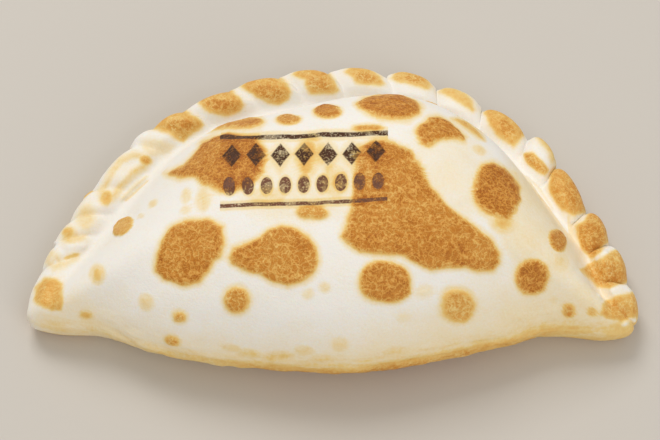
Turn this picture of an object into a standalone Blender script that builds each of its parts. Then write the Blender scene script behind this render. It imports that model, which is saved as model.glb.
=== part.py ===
"""A baked empanada: one round of dough, folded over its filling and pleated shut along the curved edge.

Metres, +Z up. It lies on its flat base with the fold in front (-Y) and the pleated rim behind (+Y).
The origin is the middle of the bottom of its bounding box.
"""

import math
from dataclasses import dataclass

import bmesh
import bpy
import numpy as np
from mathutils import Vector, noise

MM = 0.001

# Driving sizes
WIDTH = 130 * MM  # from tip to tip
RIM_DEPTH = 62.4 * MM  # from the line between the tips to the hindmost edge
BELLY_HEIGHT = 34 * MM

# The plan in front: blunt tips joined by the bulging fold
LEFT_TIP_DEPTH = 7.0 * MM
RIGHT_TIP_DEPTH = 10.2 * MM
TIP_SQUARENESS = 4
FOLD_BULGE = 8.2 * MM
FOLD_BULGE_X = -1 * MM
FOLD_BULGE_LEFT = 66 * MM
FOLD_BULGE_RIGHT = 46 * MM
LEFT_NOTCH = (2.6 * MM, -51 * MM, 8.0 * MM)  # how deep, where, over what spread
RIGHT_NOTCH = (3.4 * MM, 50 * MM, 9.5 * MM)
LEFT_SHOULDER = (2.6 * MM, math.radians(150), math.radians(20))  # flattened by how much, where, over what spread
RIGHT_SHOULDER = (1.5 * MM, math.radians(24), math.radians(15))

# The belly's ridge, along which its top runs from side to side
RIDGE_X = 1 * MM
RIDGE_Y = 20 * MM
RIDGE_HALF_LENGTH = 29 * MM
RIDGE_BEND = 7 * MM  # how much nearer the front its ends lie
RIDGE_TILT = 3 * MM  # how much further back its right end lies than its middle
RIDGE_DROP = 7 * MM  # how much lower its ends lie
RIDGE_SPREAD = 3  # how soon along a spoke the belly's rows spread out to the ridge's full length
ROUNDING = 20 * MM  # how far along the outline the top of the belly is evened out
UNEVENNESS = 0.5 * MM
UNEVEN_SCALE = 26 * MM
UNEVEN_FROM_HEIGHT = 0.5 * MM
UNEVEN_FULL_HEIGHT = 9 * MM
UNEVEN_SEED = 1795889418  # which of the uneven forms it is, so that each build gives the same one

# The rounded fold in front
FOLD_WIDEST = 9.5 * MM  # height of its foremost line
FOLD_WIDEST_AT_TIP = 5 * MM
FOLD_UNDERCUT = 11 * MM  # how far back from that line the base begins

# The rim: a flat sealed border that carries the pleats
SEAL_HEIGHT = 6.4 * MM
SEAL_EDGE_HEIGHT = 3.1 * MM
SEAL_ROUND_START = 0.42  # share of the border's width where its top starts to turn down
EDGE_UNDERCUT = 2.6 * MM
RIM_CLEARANCE = 0.5 * MM  # the rim's underside just clears the table
RIM_FLAT_AT = 15 * MM  # from here inwards the underside is the flat base
TIP_ANGLE = math.radians(24)  # how far the pleating wraps round each tip
TIP_BLEND = 8 * MM

# A pleat's pillow, in shares of its span and of the border's width
PILLOW_SKEW = 0.85  # below 1 its crest lies nearer its left end
PILLOW_MIDDLE = 0.60
PILLOW_INNER_HALF = 0.62
PILLOW_OUTER_HALF = 0.42
PILLOW_ALONG_POWER = 2.4
PILLOW_ACROSS_POWER = 2.6
PILLOW_ROUNDNESS = 0.55
SCALLOP_POWER = 2.5
DIMPLE_ALONG = 0.42
DIMPLE_ACROSS = 0.2
CREASE_BLEND = 3.5  # how sharply the pillow stands off the crease beside it

# How finely the faces follow the form
COLUMN_LENGTH = 1.55 * MM
LEAST_COLUMNS = 5
FOLD_COLUMNS = 34
BELLY_ROWS = 12
BORDER_ROWS = 9
EDGE_ROWS = 4
BASE_ROWS = 5
ROW_CROWDING = 0.02  # how far the border's rows crowd towards its two sides
OUTLINE_SAMPLES = 2400

CRUST_COLOUR = (0.86, 0.76, 0.58, 1.0)
CRUST_ROUGHNESS = 0.62


@dataclass(frozen=True)
class Pleat:
    """One fold of the edge. Sizes in millimetres, listed from the left tip round the back to the right tip."""

    span: float  # along the edge
    rise: float  # above the sealed border
    notch: float  # how far the edge draws in between this pleat and its neighbours
    reach: float  # how far the edge stands out at its middle
    slant: float  # how far the crease before it runs along the edge, per millimetre inwards
    lean: float  # how far its crest leans on along the edge
    dimple: float  # depth of the thumb press in its middle
    saddle: float  # height of the crease before it


@dataclass(frozen=True)
class Station:
    """The cross-section at one angle round the plan. Sizes in millimetres."""

    angle: float  # degrees, 0 at the right tip, 90 at the back, 180 at the left tip, 270 in front
    border: float  # width of the pleated border, or of the fold's lower part
    valley: float  # height of the valley between belly and border
    fullness: float  # power of the belly's dome along a spoke
    steepness: float  # power of the belly's dome in height


PLEATS = (
    Pleat(18.5, 2.8, 1.0, 0.2, 0.00, 0.3, 0.0, 0.4),
    Pleat(6.7, 1.9, 1.2, -0.2, 0.35, 0.3, 0.0, 1.0),
    Pleat(7.0, 2.1, 0.9, -0.2, 0.45, 0.3, 0.4, 1.1),
    Pleat(8.7, 2.3, 1.1, -0.2, 0.50, 0.4, 0.8, 1.1),
    Pleat(15.0, 2.6, 1.1, -0.3, 0.55, 0.5, 1.2, 1.2),
    Pleat(6.0, 2.1, 0.9, 0.0, 0.60, 0.4, 0.0, 1.3),
    Pleat(7.7, 2.7, 1.0, -0.9, 0.65, 0.8, 0.0, 1.5),
    Pleat(13.9, 3.0, 1.2, -1.6, 0.70, 1.1, 0.0, 1.6),
    Pleat(12.2, 3.1, 1.1, -0.8, 0.70, 1.1, 0.0, 1.6),
    Pleat(11.6, 3.1, 1.0, 0.1, 0.65, 0.9, 0.0, 1.6),
    Pleat(13.7, 3.2, 0.9, 0.8, 0.55, 0.7, 0.0, 1.6),
    Pleat(12.2, 3.3, 0.5, 1.8, 0.45, 0.4, 0.0, 1.8),
    Pleat(12.0, 3.4, 1.1, 0.9, 0.35, 0.0, 0.0, 1.3),
    Pleat(13.4, 3.7, 1.9, -0.4, 0.25, -0.4, 0.0, 1.2),
    Pleat(9.5, 3.6, 1.6, 0.4, 0.20, -0.8, 0.0, 1.1),
    Pleat(14.5, 3.9, 2.2, -0.8, 0.15, -1.0, 0.0, 1.1),
    Pleat(8.0, 3.8, 2.0, 0.0, 0.10, -1.2, 0.0, 1.0),
    Pleat(10.8, 3.9, 2.0, 0.3, 0.10, -1.2, 0.0, 1.0),
    Pleat(11.4, 3.6, 1.9, 0.8, 0.05, -0.8, 0.0, 1.0),
    Pleat(6.5, 2.2, 1.2, 0.0, 0.00, -0.3, 0.0, 0.9),
)

STATIONS = (
    Station(0, 9.5, 6.2, 2.0, 1.10),
    Station(20, 11.0, 6.0, 2.1, 1.20),
    Station(50, 11.2, 5.8, 2.7, 1.60),
    Station(68, 11.2, 5.7, 3.3, 1.70),
    Station(90, 11.5, 5.6, 2.4, 1.20),
    Station(105, 11.5, 5.6, 2.0, 1.02),
    Station(120, 11.8, 5.8, 2.4, 1.35),
    Station(135, 11.0, 5.8, 2.1, 1.05),
    Station(150, 10.8, 6.0, 2.0, 1.00),
    Station(165, 11.0, 6.2, 2.0, 1.00),
    Station(180, 9.5, 6.2, 2.0, 1.10),
    Station(200, 7.0, 6.0, 2.0, 1.15),
    Station(220, 7.0, 6.0, 2.0, 1.30),
    Station(240, 7.0, 6.0, 2.1, 1.70),
    Station(270, 8.0, 6.0, 2.15, 2.10),
    Station(300, 7.0, 6.0, 2.1, 1.70),
    Station(320, 7.0, 6.0, 2.0, 1.30),
    Station(340, 7.0, 6.0, 2.0, 1.15),
)


def smoothstep(value, low, high):
    """0 below low, 1 above high, and a smooth step between them."""
    share = np.clip((value - low) / (high - low), 0.0, 1.0)
    return share * share * (3 - 2 * share)


class Outline:
    """The plan of the empanada: half a round behind and a flatter bulge in front, by length along it.

    Length runs clockwise seen from above, from the left tip's end of the pleating.
    """

    def __init__(self):
        turn = np.linspace(0, 2 * math.pi, OUTLINE_SAMPLES + 1)
        angle = math.pi + TIP_ANGLE - turn
        x = WIDTH / 2 * np.cos(angle)
        side = np.cos(angle)
        tip = LEFT_TIP_DEPTH + (RIGHT_TIP_DEPTH - LEFT_TIP_DEPTH) * (1 + side) / 2
        tip = tip * (1 - np.abs(side) ** TIP_SQUARENESS) ** (1 / TIP_SQUARENESS)
        reach = np.where(x < FOLD_BULGE_X, FOLD_BULGE_LEFT, FOLD_BULGE_RIGHT)
        bulge = np.clip(1 - ((x - FOLD_BULGE_X) / reach) ** 2, 0, 1) ** 2
        front = -tip - FOLD_BULGE * bulge
        for depth, where, spread in (LEFT_NOTCH, RIGHT_NOTCH):
            front = front + depth * np.exp(-(((x - where) / spread) ** 2)) * np.abs(np.sin(angle))
        back = RIM_DEPTH * np.sin(angle)
        flatter = 1.0
        for amount, where, spread in (LEFT_SHOULDER, RIGHT_SHOULDER):
            flatter = flatter - amount / RIM_DEPTH * np.exp(-(((angle - where) / spread) ** 2))
        x = x * flatter
        y = np.where(np.sin(angle) > 0, back, front) * flatter
        step = np.hypot(np.diff(x), np.diff(y))
        self.along = np.concatenate([[0.0], np.cumsum(step)])
        self.length = self.along[-1]
        self.x, self.y, self.angle = x, y, angle
        self.pleated = np.interp(math.pi + 2 * TIP_ANGLE, turn, self.along)

    def at(self, along):
        """Position, ridge point and angle at lengths along the outline."""
        here = np.mod(along, self.length)
        edge = np.stack([np.interp(here, self.along, self.x), np.interp(here, self.along, self.y)], -1)
        angle = np.interp(here, self.along, self.angle)
        return edge, ridge_point(np.cos(angle)), angle


def columns(outline):
    """Each column's length along the outline, its place in its pleat, and that pleat's sizes."""
    rows = []
    total = sum(pleat.span for pleat in PLEATS)
    scale = outline.pleated / total
    start = 0.0
    for index, pleat in enumerate(PLEATS):
        span = pleat.span * scale
        after = PLEATS[min(index + 1, len(PLEATS) - 1)]
        count = max(LEAST_COLUMNS, round(span / COLUMN_LENGTH))
        for step in range(count):
            even = step / count
            place = (even + (1 - math.cos(math.pi * even)) / 2) / 2
            slant = pleat.slant + (after.slant - pleat.slant) * place
            saddle = pleat.saddle + (after.saddle - pleat.saddle) * place
            shape = (pleat.rise, pleat.notch, pleat.reach, slant, pleat.lean, pleat.dimple, saddle)
            rows.append((start + place * span, place, *shape))
        start += span
    fold = outline.length - outline.pleated
    for step in range(FOLD_COLUMNS):
        rows.append((start + step / FOLD_COLUMNS * fold, 0.0, 0.0, 0.0, 0.0, 0.0, 0.0, 0.0, 0.0))
    return np.array(rows)


def station(field, angle):
    """A cross-section value at each angle, between the stations on either side."""
    known = [s.angle for s in STATIONS]
    values = [getattr(s, field) for s in STATIONS]
    return np.interp(np.degrees(angle) % 360, known, values, period=360)


def from_crest(place):
    """How far a place along a pleat's span is from its crest, 1 at the creases on either side."""
    return abs(2 * place**PILLOW_SKEW - 1)


def flank(across):
    """How far the pillow has fallen at its place across the border, 0 on its crest line."""
    half = np.where(across < PILLOW_MIDDLE, PILLOW_INNER_HALF, PILLOW_OUTER_HALF)
    return np.abs((across - PILLOW_MIDDLE) / half) ** PILLOW_ACROSS_POWER


def pillow(place, across):
    """Height share of a pleat at its place along the span and across the border."""
    along_part = from_crest(place) ** PILLOW_ALONG_POWER
    return np.clip(1 - along_part - flank(across), 0, 1) ** PILLOW_ROUNDNESS


def crease_bridge(across):
    """Height share of the crease between two pleats at its place across the border."""
    return np.clip(1 - flank(across), 0, 1) ** PILLOW_ROUNDNESS


def thumb_press(place, across):
    """Depth share of the hollow that a thumb leaves in a pleat."""
    return np.exp(-(((2 * place - 1) / DIMPLE_ALONG) ** 2) - ((across - PILLOW_MIDDLE) / DIMPLE_ACROSS) ** 2)


def ridge_point(side):
    """Plan position on the belly's ridge, side being -1 at its left end and 1 at its right end."""
    across = RIDGE_X + RIDGE_HALF_LENGTH * side
    back = RIDGE_Y + RIDGE_TILT * side - RIDGE_BEND * side**2
    return np.stack([across, back], -1)


def inwards(edge, ridge, distance):
    """Points a distance in from the edge, straight towards the ridge."""
    spoke = ridge - edge
    return edge + spoke / np.linalg.norm(spoke, axis=-1, keepdims=True) * distance


def dome(edge, edge_z, angle, share):
    """Points of the belly along a spoke: share is 0 at the middle of the ridge and 1 at the edge."""
    side = np.cos(angle) * (1 - (1 - share) ** RIDGE_SPREAD)
    ridge = ridge_point(side)
    plan = ridge + (edge - ridge) * share[:, None]
    ridge_z = BELLY_HEIGHT - RIDGE_DROP * side**2
    rise = (1 - share ** station("fullness", angle)) ** (1 / station("steepness", angle))
    return np.column_stack([plan, edge_z + (ridge_z - edge_z) * rise])


def belly_shares(angle):
    """Shares of a spoke at which the belly's rows lie, closer together where it is steeper."""
    arc = np.linspace(0, math.pi / 2, BELLY_ROWS + 1)[:-1]
    return np.sin(arc) ** (2 / station("fullness", angle))


def base_rows(edge, ridge):
    """The flat base's rows, from its border to near its middle."""
    shares = np.linspace(1, 0, BASE_ROWS + 1)[:-1, None]
    start = inwards(edge, ridge, RIM_FLAT_AT)
    plan = start * shares + ridge * (1 - shares)
    return np.column_stack([plan, np.zeros(BASE_ROWS)])


def pleated_section(outline, column):
    """The rows of one column across belly, valley, pleated border, edge and underside."""
    along, place, rise, notch, reach, slant, lean, dimple, saddle = column
    border = station("border", outline.at(along)[2]) * MM

    outer, ridge, angle = outline.at(along + slant * border)
    valley = station("valley", angle) * MM
    inner = inwards(outer, ridge, border)
    belly = dome(inner, valley, angle, belly_shares(angle))

    across = np.linspace(0, 1, BORDER_ROWS + 1)
    across = across - ROW_CROWDING * np.sin(2 * math.pi * across)
    puff = pillow(place, across)
    swell = math.sqrt(1 - from_crest(place) ** SCALLOP_POWER)
    scallop = (notch * (1 - swell) - reach * swell) * MM
    outer, ridge, _ = outline.at(along + slant * border * (1 - across) + lean * MM * puff)
    seal = inwards(outer, ridge, (border * (1 - across) + scallop * across**2)[:, None])
    turned = np.clip((across - SEAL_ROUND_START) / (1 - SEAL_ROUND_START), 0, 1)
    seal_z = SEAL_EDGE_HEIGHT + (SEAL_HEIGHT - SEAL_EDGE_HEIGHT) * np.sqrt(1 - turned**3)
    seal_z = seal_z + (valley - SEAL_HEIGHT) * (1 - across) ** 2
    crests = (rise * puff) ** CREASE_BLEND + (saddle * crease_bridge(across)) ** CREASE_BLEND
    seal_z = seal_z + (crests ** (1 / CREASE_BLEND) - dimple * thumb_press(place, across)) * MM

    edge, ridge, _ = outline.at(along)
    under_arc = np.linspace(0, math.pi / 2, EDGE_ROWS + 1)[1:]
    under = inwards(edge, ridge, (scallop + EDGE_UNDERCUT * (1 - np.cos(under_arc)))[:, None])
    under_z = RIM_CLEARANCE + (SEAL_EDGE_HEIGHT - RIM_CLEARANCE) * (1 - np.sin(under_arc))
    rim = np.column_stack([np.concatenate([seal, under]), np.concatenate([seal_z, under_z])])
    return np.concatenate([belly, rim, base_rows(edge, ridge)])


def folded_section(outline, column):
    """The same rows where the dough is folded: belly, rounded fold, undercut and underside."""
    edge, ridge, angle = outline.at(column[0])
    middle = abs(math.sin(angle))
    widest = FOLD_WIDEST_AT_TIP + (FOLD_WIDEST - FOLD_WIDEST_AT_TIP) * middle
    lower = station("border", angle) * MM / np.linalg.norm(ridge - edge)
    fold_shares = 1 - lower * np.linspace(1, 0, BORDER_ROWS + 1) ** 2
    above = dome(edge, widest, angle, np.concatenate([belly_shares(angle) * (1 - lower), fold_shares]))

    under_arc = np.linspace(0, math.pi / 2, EDGE_ROWS + 1)[1:]
    undercut = EDGE_UNDERCUT + (FOLD_UNDERCUT - EDGE_UNDERCUT) * middle
    under = inwards(edge, ridge, (undercut * (1 - np.cos(under_arc)))[:, None])
    under_z = widest * (1 - np.sin(under_arc))
    return np.concatenate([above, np.column_stack([under, under_z]), base_rows(edge, ridge)])


def rounded(grid, along, length):
    """Evens out the belly's rows along the outline, more and more towards its top."""
    apart = np.abs(along[:, None] - along[None, :])
    apart = np.minimum(apart, length - apart)
    share = (np.roll(along, -1) - np.roll(along, 1)) % length
    for row in range(1, BELLY_ROWS):
        reach = ROUNDING * (1 - row / BELLY_ROWS)
        weight = np.exp(-((apart / reach) ** 2)) * share
        grid[:, row] = weight @ grid[:, row] / weight.sum(1, keepdims=True)
    return grid


def surface():
    """All rows of all columns, as an array of columns by rows by coordinates."""
    outline = Outline()
    rows = columns(outline)
    grid = []
    for column in rows:
        before = smoothstep(column[0], 0, TIP_BLEND)
        after = smoothstep(outline.pleated - column[0], 0, TIP_BLEND)
        pleated = float(before * after)
        folded = folded_section(outline, column)
        grid.append(folded + pleated * (pleated_section(outline, column) - folded))
    return uneven(rounded(np.array(grid), rows[:, 0], outline.length))


def uneven(grid):
    """Gives the dough the slow unevenness of handwork, fading out at the base."""
    noise.seed_set(UNEVEN_SEED)
    for point in grid.reshape(-1, 3):
        lift = smoothstep(point[2], UNEVEN_FROM_HEIGHT, UNEVEN_FULL_HEIGHT)
        where = Vector(point) / UNEVEN_SCALE
        point += UNEVENNESS * lift * np.array(noise.noise_vector(where))
    return grid


def shaped_ball(grid):
    """A ball of dough as a closed mesh, each of its points moved to its place on the surface."""
    column_count, row_count = grid.shape[:2]
    form = bmesh.new()
    bmesh.ops.create_uvsphere(form, u_segments=column_count, v_segments=row_count, radius=1)
    for vert in form.verts:
        down = math.acos(max(-1.0, min(1.0, vert.co.z))) / math.pi
        row = round(down * row_count)
        turn = -math.atan2(vert.co.y, vert.co.x) / (2 * math.pi)
        column = round(turn * column_count) % column_count
        if row == row_count:
            vert.co = (RIDGE_X, RIDGE_Y, 0)
        else:
            vert.co = grid[column, row]
    return form


def centred(form):
    """Moves the form so that the origin is the middle of the bottom of its bounding box."""
    low = [min(v.co[i] for v in form.verts) for i in range(3)]
    high = [max(v.co[i] for v in form.verts) for i in range(3)]
    middle = Vector(((low[0] + high[0]) / 2, (low[1] + high[1]) / 2, low[2]))
    bmesh.ops.translate(form, verts=form.verts, vec=-middle)


def crust_material():
    """Pale baked dough."""
    material = bpy.data.materials.new("baked_crust")
    material.use_nodes = True
    shader = material.node_tree.nodes["Principled BSDF"]
    shader.inputs["Base Color"].default_value = CRUST_COLOUR
    shader.inputs["Roughness"].default_value = CRUST_ROUGHNESS
    shader.inputs["Metallic"].default_value = 0.0
    return material


def build():
    """Clears the scene and makes the empanada."""
    for old in list(bpy.data.objects):
        bpy.data.objects.remove(old)
    collection = bpy.data.collections.new("empanada_parts")
    bpy.context.scene.collection.children.link(collection)
    form = shaped_ball(surface())
    centred(form)
    mesh = bpy.data.meshes.new("empanada")
    form.to_mesh(mesh)
    form.free()
    mesh.shade_smooth()
    mesh.materials.append(crust_material())
    collection.objects.link(bpy.data.objects.new("empanada", mesh))


build()
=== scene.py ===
"""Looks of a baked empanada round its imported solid: a half-moon of dough, blistered and pleated shut.

Metres, +Z up, in the part's own frame: the fold is in front (-Y) and the pleated rim behind (+Y).
Places read off the photograph are pixels of its 660 by 440 frame, and PhotoView turns them into rays.
"""

import logging
import math
from dataclasses import dataclass, field
from enum import Enum
from functools import reduce

import bpy
import numpy as np
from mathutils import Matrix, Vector, noise
from mathutils.bvhtree import BVHTree


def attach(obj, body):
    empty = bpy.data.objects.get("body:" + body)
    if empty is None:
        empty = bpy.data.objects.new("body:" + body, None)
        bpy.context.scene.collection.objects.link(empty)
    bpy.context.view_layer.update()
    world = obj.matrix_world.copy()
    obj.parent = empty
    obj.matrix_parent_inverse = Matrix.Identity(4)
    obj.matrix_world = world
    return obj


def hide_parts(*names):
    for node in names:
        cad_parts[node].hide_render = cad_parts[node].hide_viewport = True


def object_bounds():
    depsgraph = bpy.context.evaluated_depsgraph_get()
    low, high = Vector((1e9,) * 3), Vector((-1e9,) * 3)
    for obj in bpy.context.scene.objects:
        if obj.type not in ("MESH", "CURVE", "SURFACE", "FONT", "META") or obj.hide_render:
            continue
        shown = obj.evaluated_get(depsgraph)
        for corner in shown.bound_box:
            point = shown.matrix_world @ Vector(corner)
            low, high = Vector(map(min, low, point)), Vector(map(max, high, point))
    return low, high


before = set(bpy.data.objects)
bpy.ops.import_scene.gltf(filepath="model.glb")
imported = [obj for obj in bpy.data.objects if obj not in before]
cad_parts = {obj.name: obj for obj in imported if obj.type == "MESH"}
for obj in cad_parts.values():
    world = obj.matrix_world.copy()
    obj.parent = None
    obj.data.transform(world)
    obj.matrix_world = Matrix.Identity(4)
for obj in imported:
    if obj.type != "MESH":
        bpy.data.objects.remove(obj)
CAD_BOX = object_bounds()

MM = 0.001
PIECE = "empanada_crust"

log = logging.getLogger("empanada")


# ---------------------------------------------------------------------------------------------- Small helpers


def smoothstep(value: np.ndarray, low: float, high: float) -> np.ndarray:
    """A smooth step.

    Args:
        value: Numbers to map.
        low: Where the step starts from 0.
        high: Where it reaches 1.

    Returns:
        Shares between 0 and 1.
    """
    share = np.clip((value - low) / (high - low), 0.0, 1.0)
    return share * share * (3 - 2 * share)


def linear(red: float, green: float, blue: float) -> tuple[float, float, float, float]:
    """A screen colour as the shader's own numbers.

    Args:
        red: Red from 0 to 255, as a picture shows it.
        green: Green likewise.
        blue: Blue likewise.

    Returns:
        Linear red, green, blue and an alpha of 1.
    """
    def bent(part: float) -> float:
        """One channel made linear."""
        share = part / 255
        return share / 12.92 if share <= 0.04045 else ((share + 0.055) / 1.055) ** 2.4

    return bent(red), bent(green), bent(blue), 1.0


@dataclass(frozen=True)
class Speckle:
    """Smooth noise round 0."""

    grain: float  # size of a lump in metres
    seed: float  # shift of the pattern
    depth: float = 1.0  # largest value
    stretch: tuple[float, float, float] = (1.0, 1.0, 1.0)  # how much finer it is along each axis

    def at(self, points: np.ndarray) -> np.ndarray:
        """The noise at places.

        Args:
            points: The places, one row each.

        Returns:
            One number for each.
        """
        shift = Vector((self.seed, self.seed * 0.7, -self.seed))
        places = points * np.array(self.stretch)
        return self.depth * np.array([noise.noise(Vector(place) / self.grain + shift) for place in places])


# -------------------------------------------------------------------------------------------------- Node sums


@dataclass(frozen=True)
class Wire:
    """A number on its way through a node tree, with the sums that nodes do on it."""

    tree: bpy.types.NodeTree
    socket: bpy.types.NodeSocket

    def through(self, operation: str, *others: "Wire | float") -> "Wire":
        """Adds a math node.

        Args:
            operation: The node's sum, by its name in Blender.
            others: Its further numbers.

        Returns:
            The result.
        """
        node = self.tree.nodes.new("ShaderNodeMath")
        node.operation = operation
        for place, value in enumerate((self, *others)):
            plug(self.tree, value, node.inputs[place])
        return Wire(self.tree, node.outputs[0])

    def __add__(self, other: "Wire | float") -> "Wire":
        """Sum."""
        return self.through("ADD", other)

    def __sub__(self, other: "Wire | float") -> "Wire":
        """Difference."""
        return self.through("SUBTRACT", other)

    def __rsub__(self, other: float) -> "Wire":
        """Difference from a number."""
        return (self * -1.0).through("ADD", other)

    def __mul__(self, other: "Wire | float") -> "Wire":
        """Product."""
        return self.through("MULTIPLY", other)

    def __truediv__(self, other: "Wire | float") -> "Wire":
        """Quotient."""
        return self.through("DIVIDE", other)

    def __pow__(self, other: "Wire | float") -> "Wire":
        """Power."""
        return self.through("POWER", other)

    def __abs__(self) -> "Wire":
        """Size without sign."""
        return self.through("ABSOLUTE")

    def least(self, other: "Wire | float") -> "Wire":
        """The smaller of two."""
        return self.through("MINIMUM", other)

    def most(self, other: "Wire | float") -> "Wire":
        """The larger of two."""
        return self.through("MAXIMUM", other)

    def bell(self, width: "Wire | float") -> "Wire":
        """1 at zero and falling to nothing over a width."""
        return (((self / width) ** 2.0) * -1.0).through("EXPONENT")

    def step(self, low: float, high: float) -> "Wire":
        """A smooth step from 0 at low to 1 at high.

        Args:
            low: Where it starts.
            high: Where it ends.

        Returns:
            The share.
        """
        node = self.tree.nodes.new("ShaderNodeMapRange")
        node.interpolation_type = "SMOOTHSTEP"
        plug(self.tree, self, node.inputs["Value"])
        node.inputs["From Min"].default_value = low
        node.inputs["From Max"].default_value = high
        return Wire(self.tree, node.outputs["Result"])


def plug(tree: bpy.types.NodeTree, value: "Wire | float | tuple", socket: bpy.types.NodeSocket) -> None:
    """Gives a socket its value.

    Args:
        tree: The tree that holds the socket.
        value: A wire to link, or a plain number or colour.
        socket: The socket.
    """
    if isinstance(value, Wire):
        tree.links.new(value.socket, socket)
    else:
        socket.default_value = value


class FormTree:
    """A Geometry Nodes tree that moves a mesh's points and gives it its finish."""

    def __init__(self, name: str, sizes: dict[str, float], finish: bpy.types.Material) -> None:
        """Starts the tree.

        Args:
            name: The tree's name.
            sizes: Its named inputs and their values.
            finish: Material of the result.
        """
        self.tree = bpy.data.node_groups.new(name, "GeometryNodeTree")
        self.finish = finish
        self.sizes = sizes
        face = self.tree.interface
        face.new_socket("Geometry", in_out="INPUT", socket_type="NodeSocketGeometry")
        face.new_socket("Geometry", in_out="OUTPUT", socket_type="NodeSocketGeometry")
        self.keys = {
            size: face.new_socket(size, in_out="INPUT", socket_type="NodeSocketFloat").identifier
            for size in sizes
        }
        self.entry = self.tree.nodes.new("NodeGroupInput")
        self.exit = self.tree.nodes.new("NodeGroupOutput")

    def size(self, name: str) -> Wire:
        """A named input."""
        return Wire(self.tree, self.entry.outputs[name])

    def attribute(self, name: str, kind: str = "FLOAT") -> Wire:
        """A value that the mesh carries.

        Args:
            name: The attribute's name.
            kind: FLOAT or FLOAT_VECTOR.

        Returns:
            Its wire.
        """
        node = self.tree.nodes.new("GeometryNodeInputNamedAttribute")
        node.data_type = kind
        node.inputs["Name"].default_value = name
        return Wire(self.tree, node.outputs["Attribute"])

    def noise(self, stretch: tuple[float, float, float], grain: Wire, seed: float, detail: float) -> Wire:
        """Smooth noise in the form's own coordinates, from 0 to 1.

        Args:
            stretch: How much finer it is along each axis.
            grain: Size of a lump.
            seed: Fixed shift.
            detail: Levels of finer lumps.

        Returns:
            The noise.
        """
        place = self.tree.nodes.new("GeometryNodeInputPosition")
        pull = self.tree.nodes.new("ShaderNodeVectorMath")
        pull.operation = "MULTIPLY_ADD"
        self.tree.links.new(place.outputs[0], pull.inputs[0])
        pull.inputs[1].default_value = stretch
        pull.inputs[2].default_value = (seed, seed, seed)
        lumps = self.tree.nodes.new("ShaderNodeTexNoise")
        self.tree.links.new(pull.outputs[0], lumps.inputs["Vector"])
        plug(self.tree, grain ** -1.0, lumps.inputs["Scale"])
        lumps.inputs["Detail"].default_value = detail
        return Wire(self.tree, lumps.outputs[0])

    def scaled(self, direction: Wire, amount: Wire) -> Wire:
        """A direction times an amount.

        Args:
            direction: A vector.
            amount: A number.

        Returns:
            The scaled vector.
        """
        node = self.tree.nodes.new("ShaderNodeVectorMath")
        node.operation = "SCALE"
        self.tree.links.new(direction.socket, node.inputs[0])
        self.tree.links.new(amount.socket, node.inputs["Scale"])
        return Wire(self.tree, node.outputs[0])

    def end(self, *offsets: Wire) -> None:
        """Moves the points by the sum of the offsets and ends the tree.

        Args:
            offsets: Vectors to add up.
        """
        total = offsets[0]
        for offset in offsets[1:]:
            node = self.tree.nodes.new("ShaderNodeVectorMath")
            self.tree.links.new(total.socket, node.inputs[0])
            self.tree.links.new(offset.socket, node.inputs[1])
            total = Wire(self.tree, node.outputs[0])
        move = self.tree.nodes.new("GeometryNodeSetPosition")
        real = self.tree.nodes.new("GeometryNodeRealizeInstances")
        dress = self.tree.nodes.new("GeometryNodeSetMaterial")
        dress.inputs["Material"].default_value = self.finish
        self.tree.links.new(self.entry.outputs["Geometry"], move.inputs["Geometry"])
        self.tree.links.new(total.socket, move.inputs["Offset"])
        self.tree.links.new(move.outputs[0], real.inputs[0])
        self.tree.links.new(real.outputs[0], dress.inputs["Geometry"])
        self.tree.links.new(dress.outputs[0], self.exit.inputs["Geometry"])

    def apply(self, piece: bpy.types.Object) -> None:
        """Runs the tree on a piece and leaves the result as its plain mesh.

        Args:
            piece: The piece to form.
        """
        worker = piece.modifiers.new(self.tree.name, "NODES")
        worker.node_group = self.tree
        for size, value in self.sizes.items():
            worker[self.keys[size]] = value
        evaluated = piece.evaluated_get(bpy.context.evaluated_depsgraph_get())
        shaped = bpy.data.meshes.new_from_object(evaluated)
        piece.modifiers.remove(worker)
        old = piece.data
        piece.data = shaped
        bpy.data.meshes.remove(old)


# ------------------------------------------------------------------------------------------- The dough's form


class PleatStyle(Enum):
    """How a pleat has baked on the side that the camera doesn't see, from 0 for white to 1 for brown."""

    PALE = 0.16
    RINGED = 0.34
    GOLDEN = 0.62
    BROWN = 0.74


@dataclass(frozen=True)
class Pleat:
    """One fold of the edge, in millimetres. They are listed from the left tip round the back to the right."""

    span: float  # along the edge
    rise: float  # above the sealed border
    notch: float  # how far the edge draws in between this pleat and its neighbours
    reach: float  # how far the edge stands out at its middle
    slant: float  # how far the crease before it runs along the edge, per millimetre inwards
    lean: float  # how far its crest leans on along the edge
    dimple: float  # depth of the thumb press in its middle
    saddle: float  # height of the crease before it
    style: PleatStyle


@dataclass(frozen=True)
class Station:
    """The cross-section at one angle round the plan. Sizes in millimetres."""

    angle: float  # degrees, 0 at the right tip, 90 at the back, 180 at the left tip, 270 in front
    border: float  # width of the pleated border, or of the fold's lower part
    valley: float  # height of the valley between belly and border
    fullness: float  # power of the belly's dome along a spoke
    steepness: float  # power of the belly's dome in height


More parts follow.
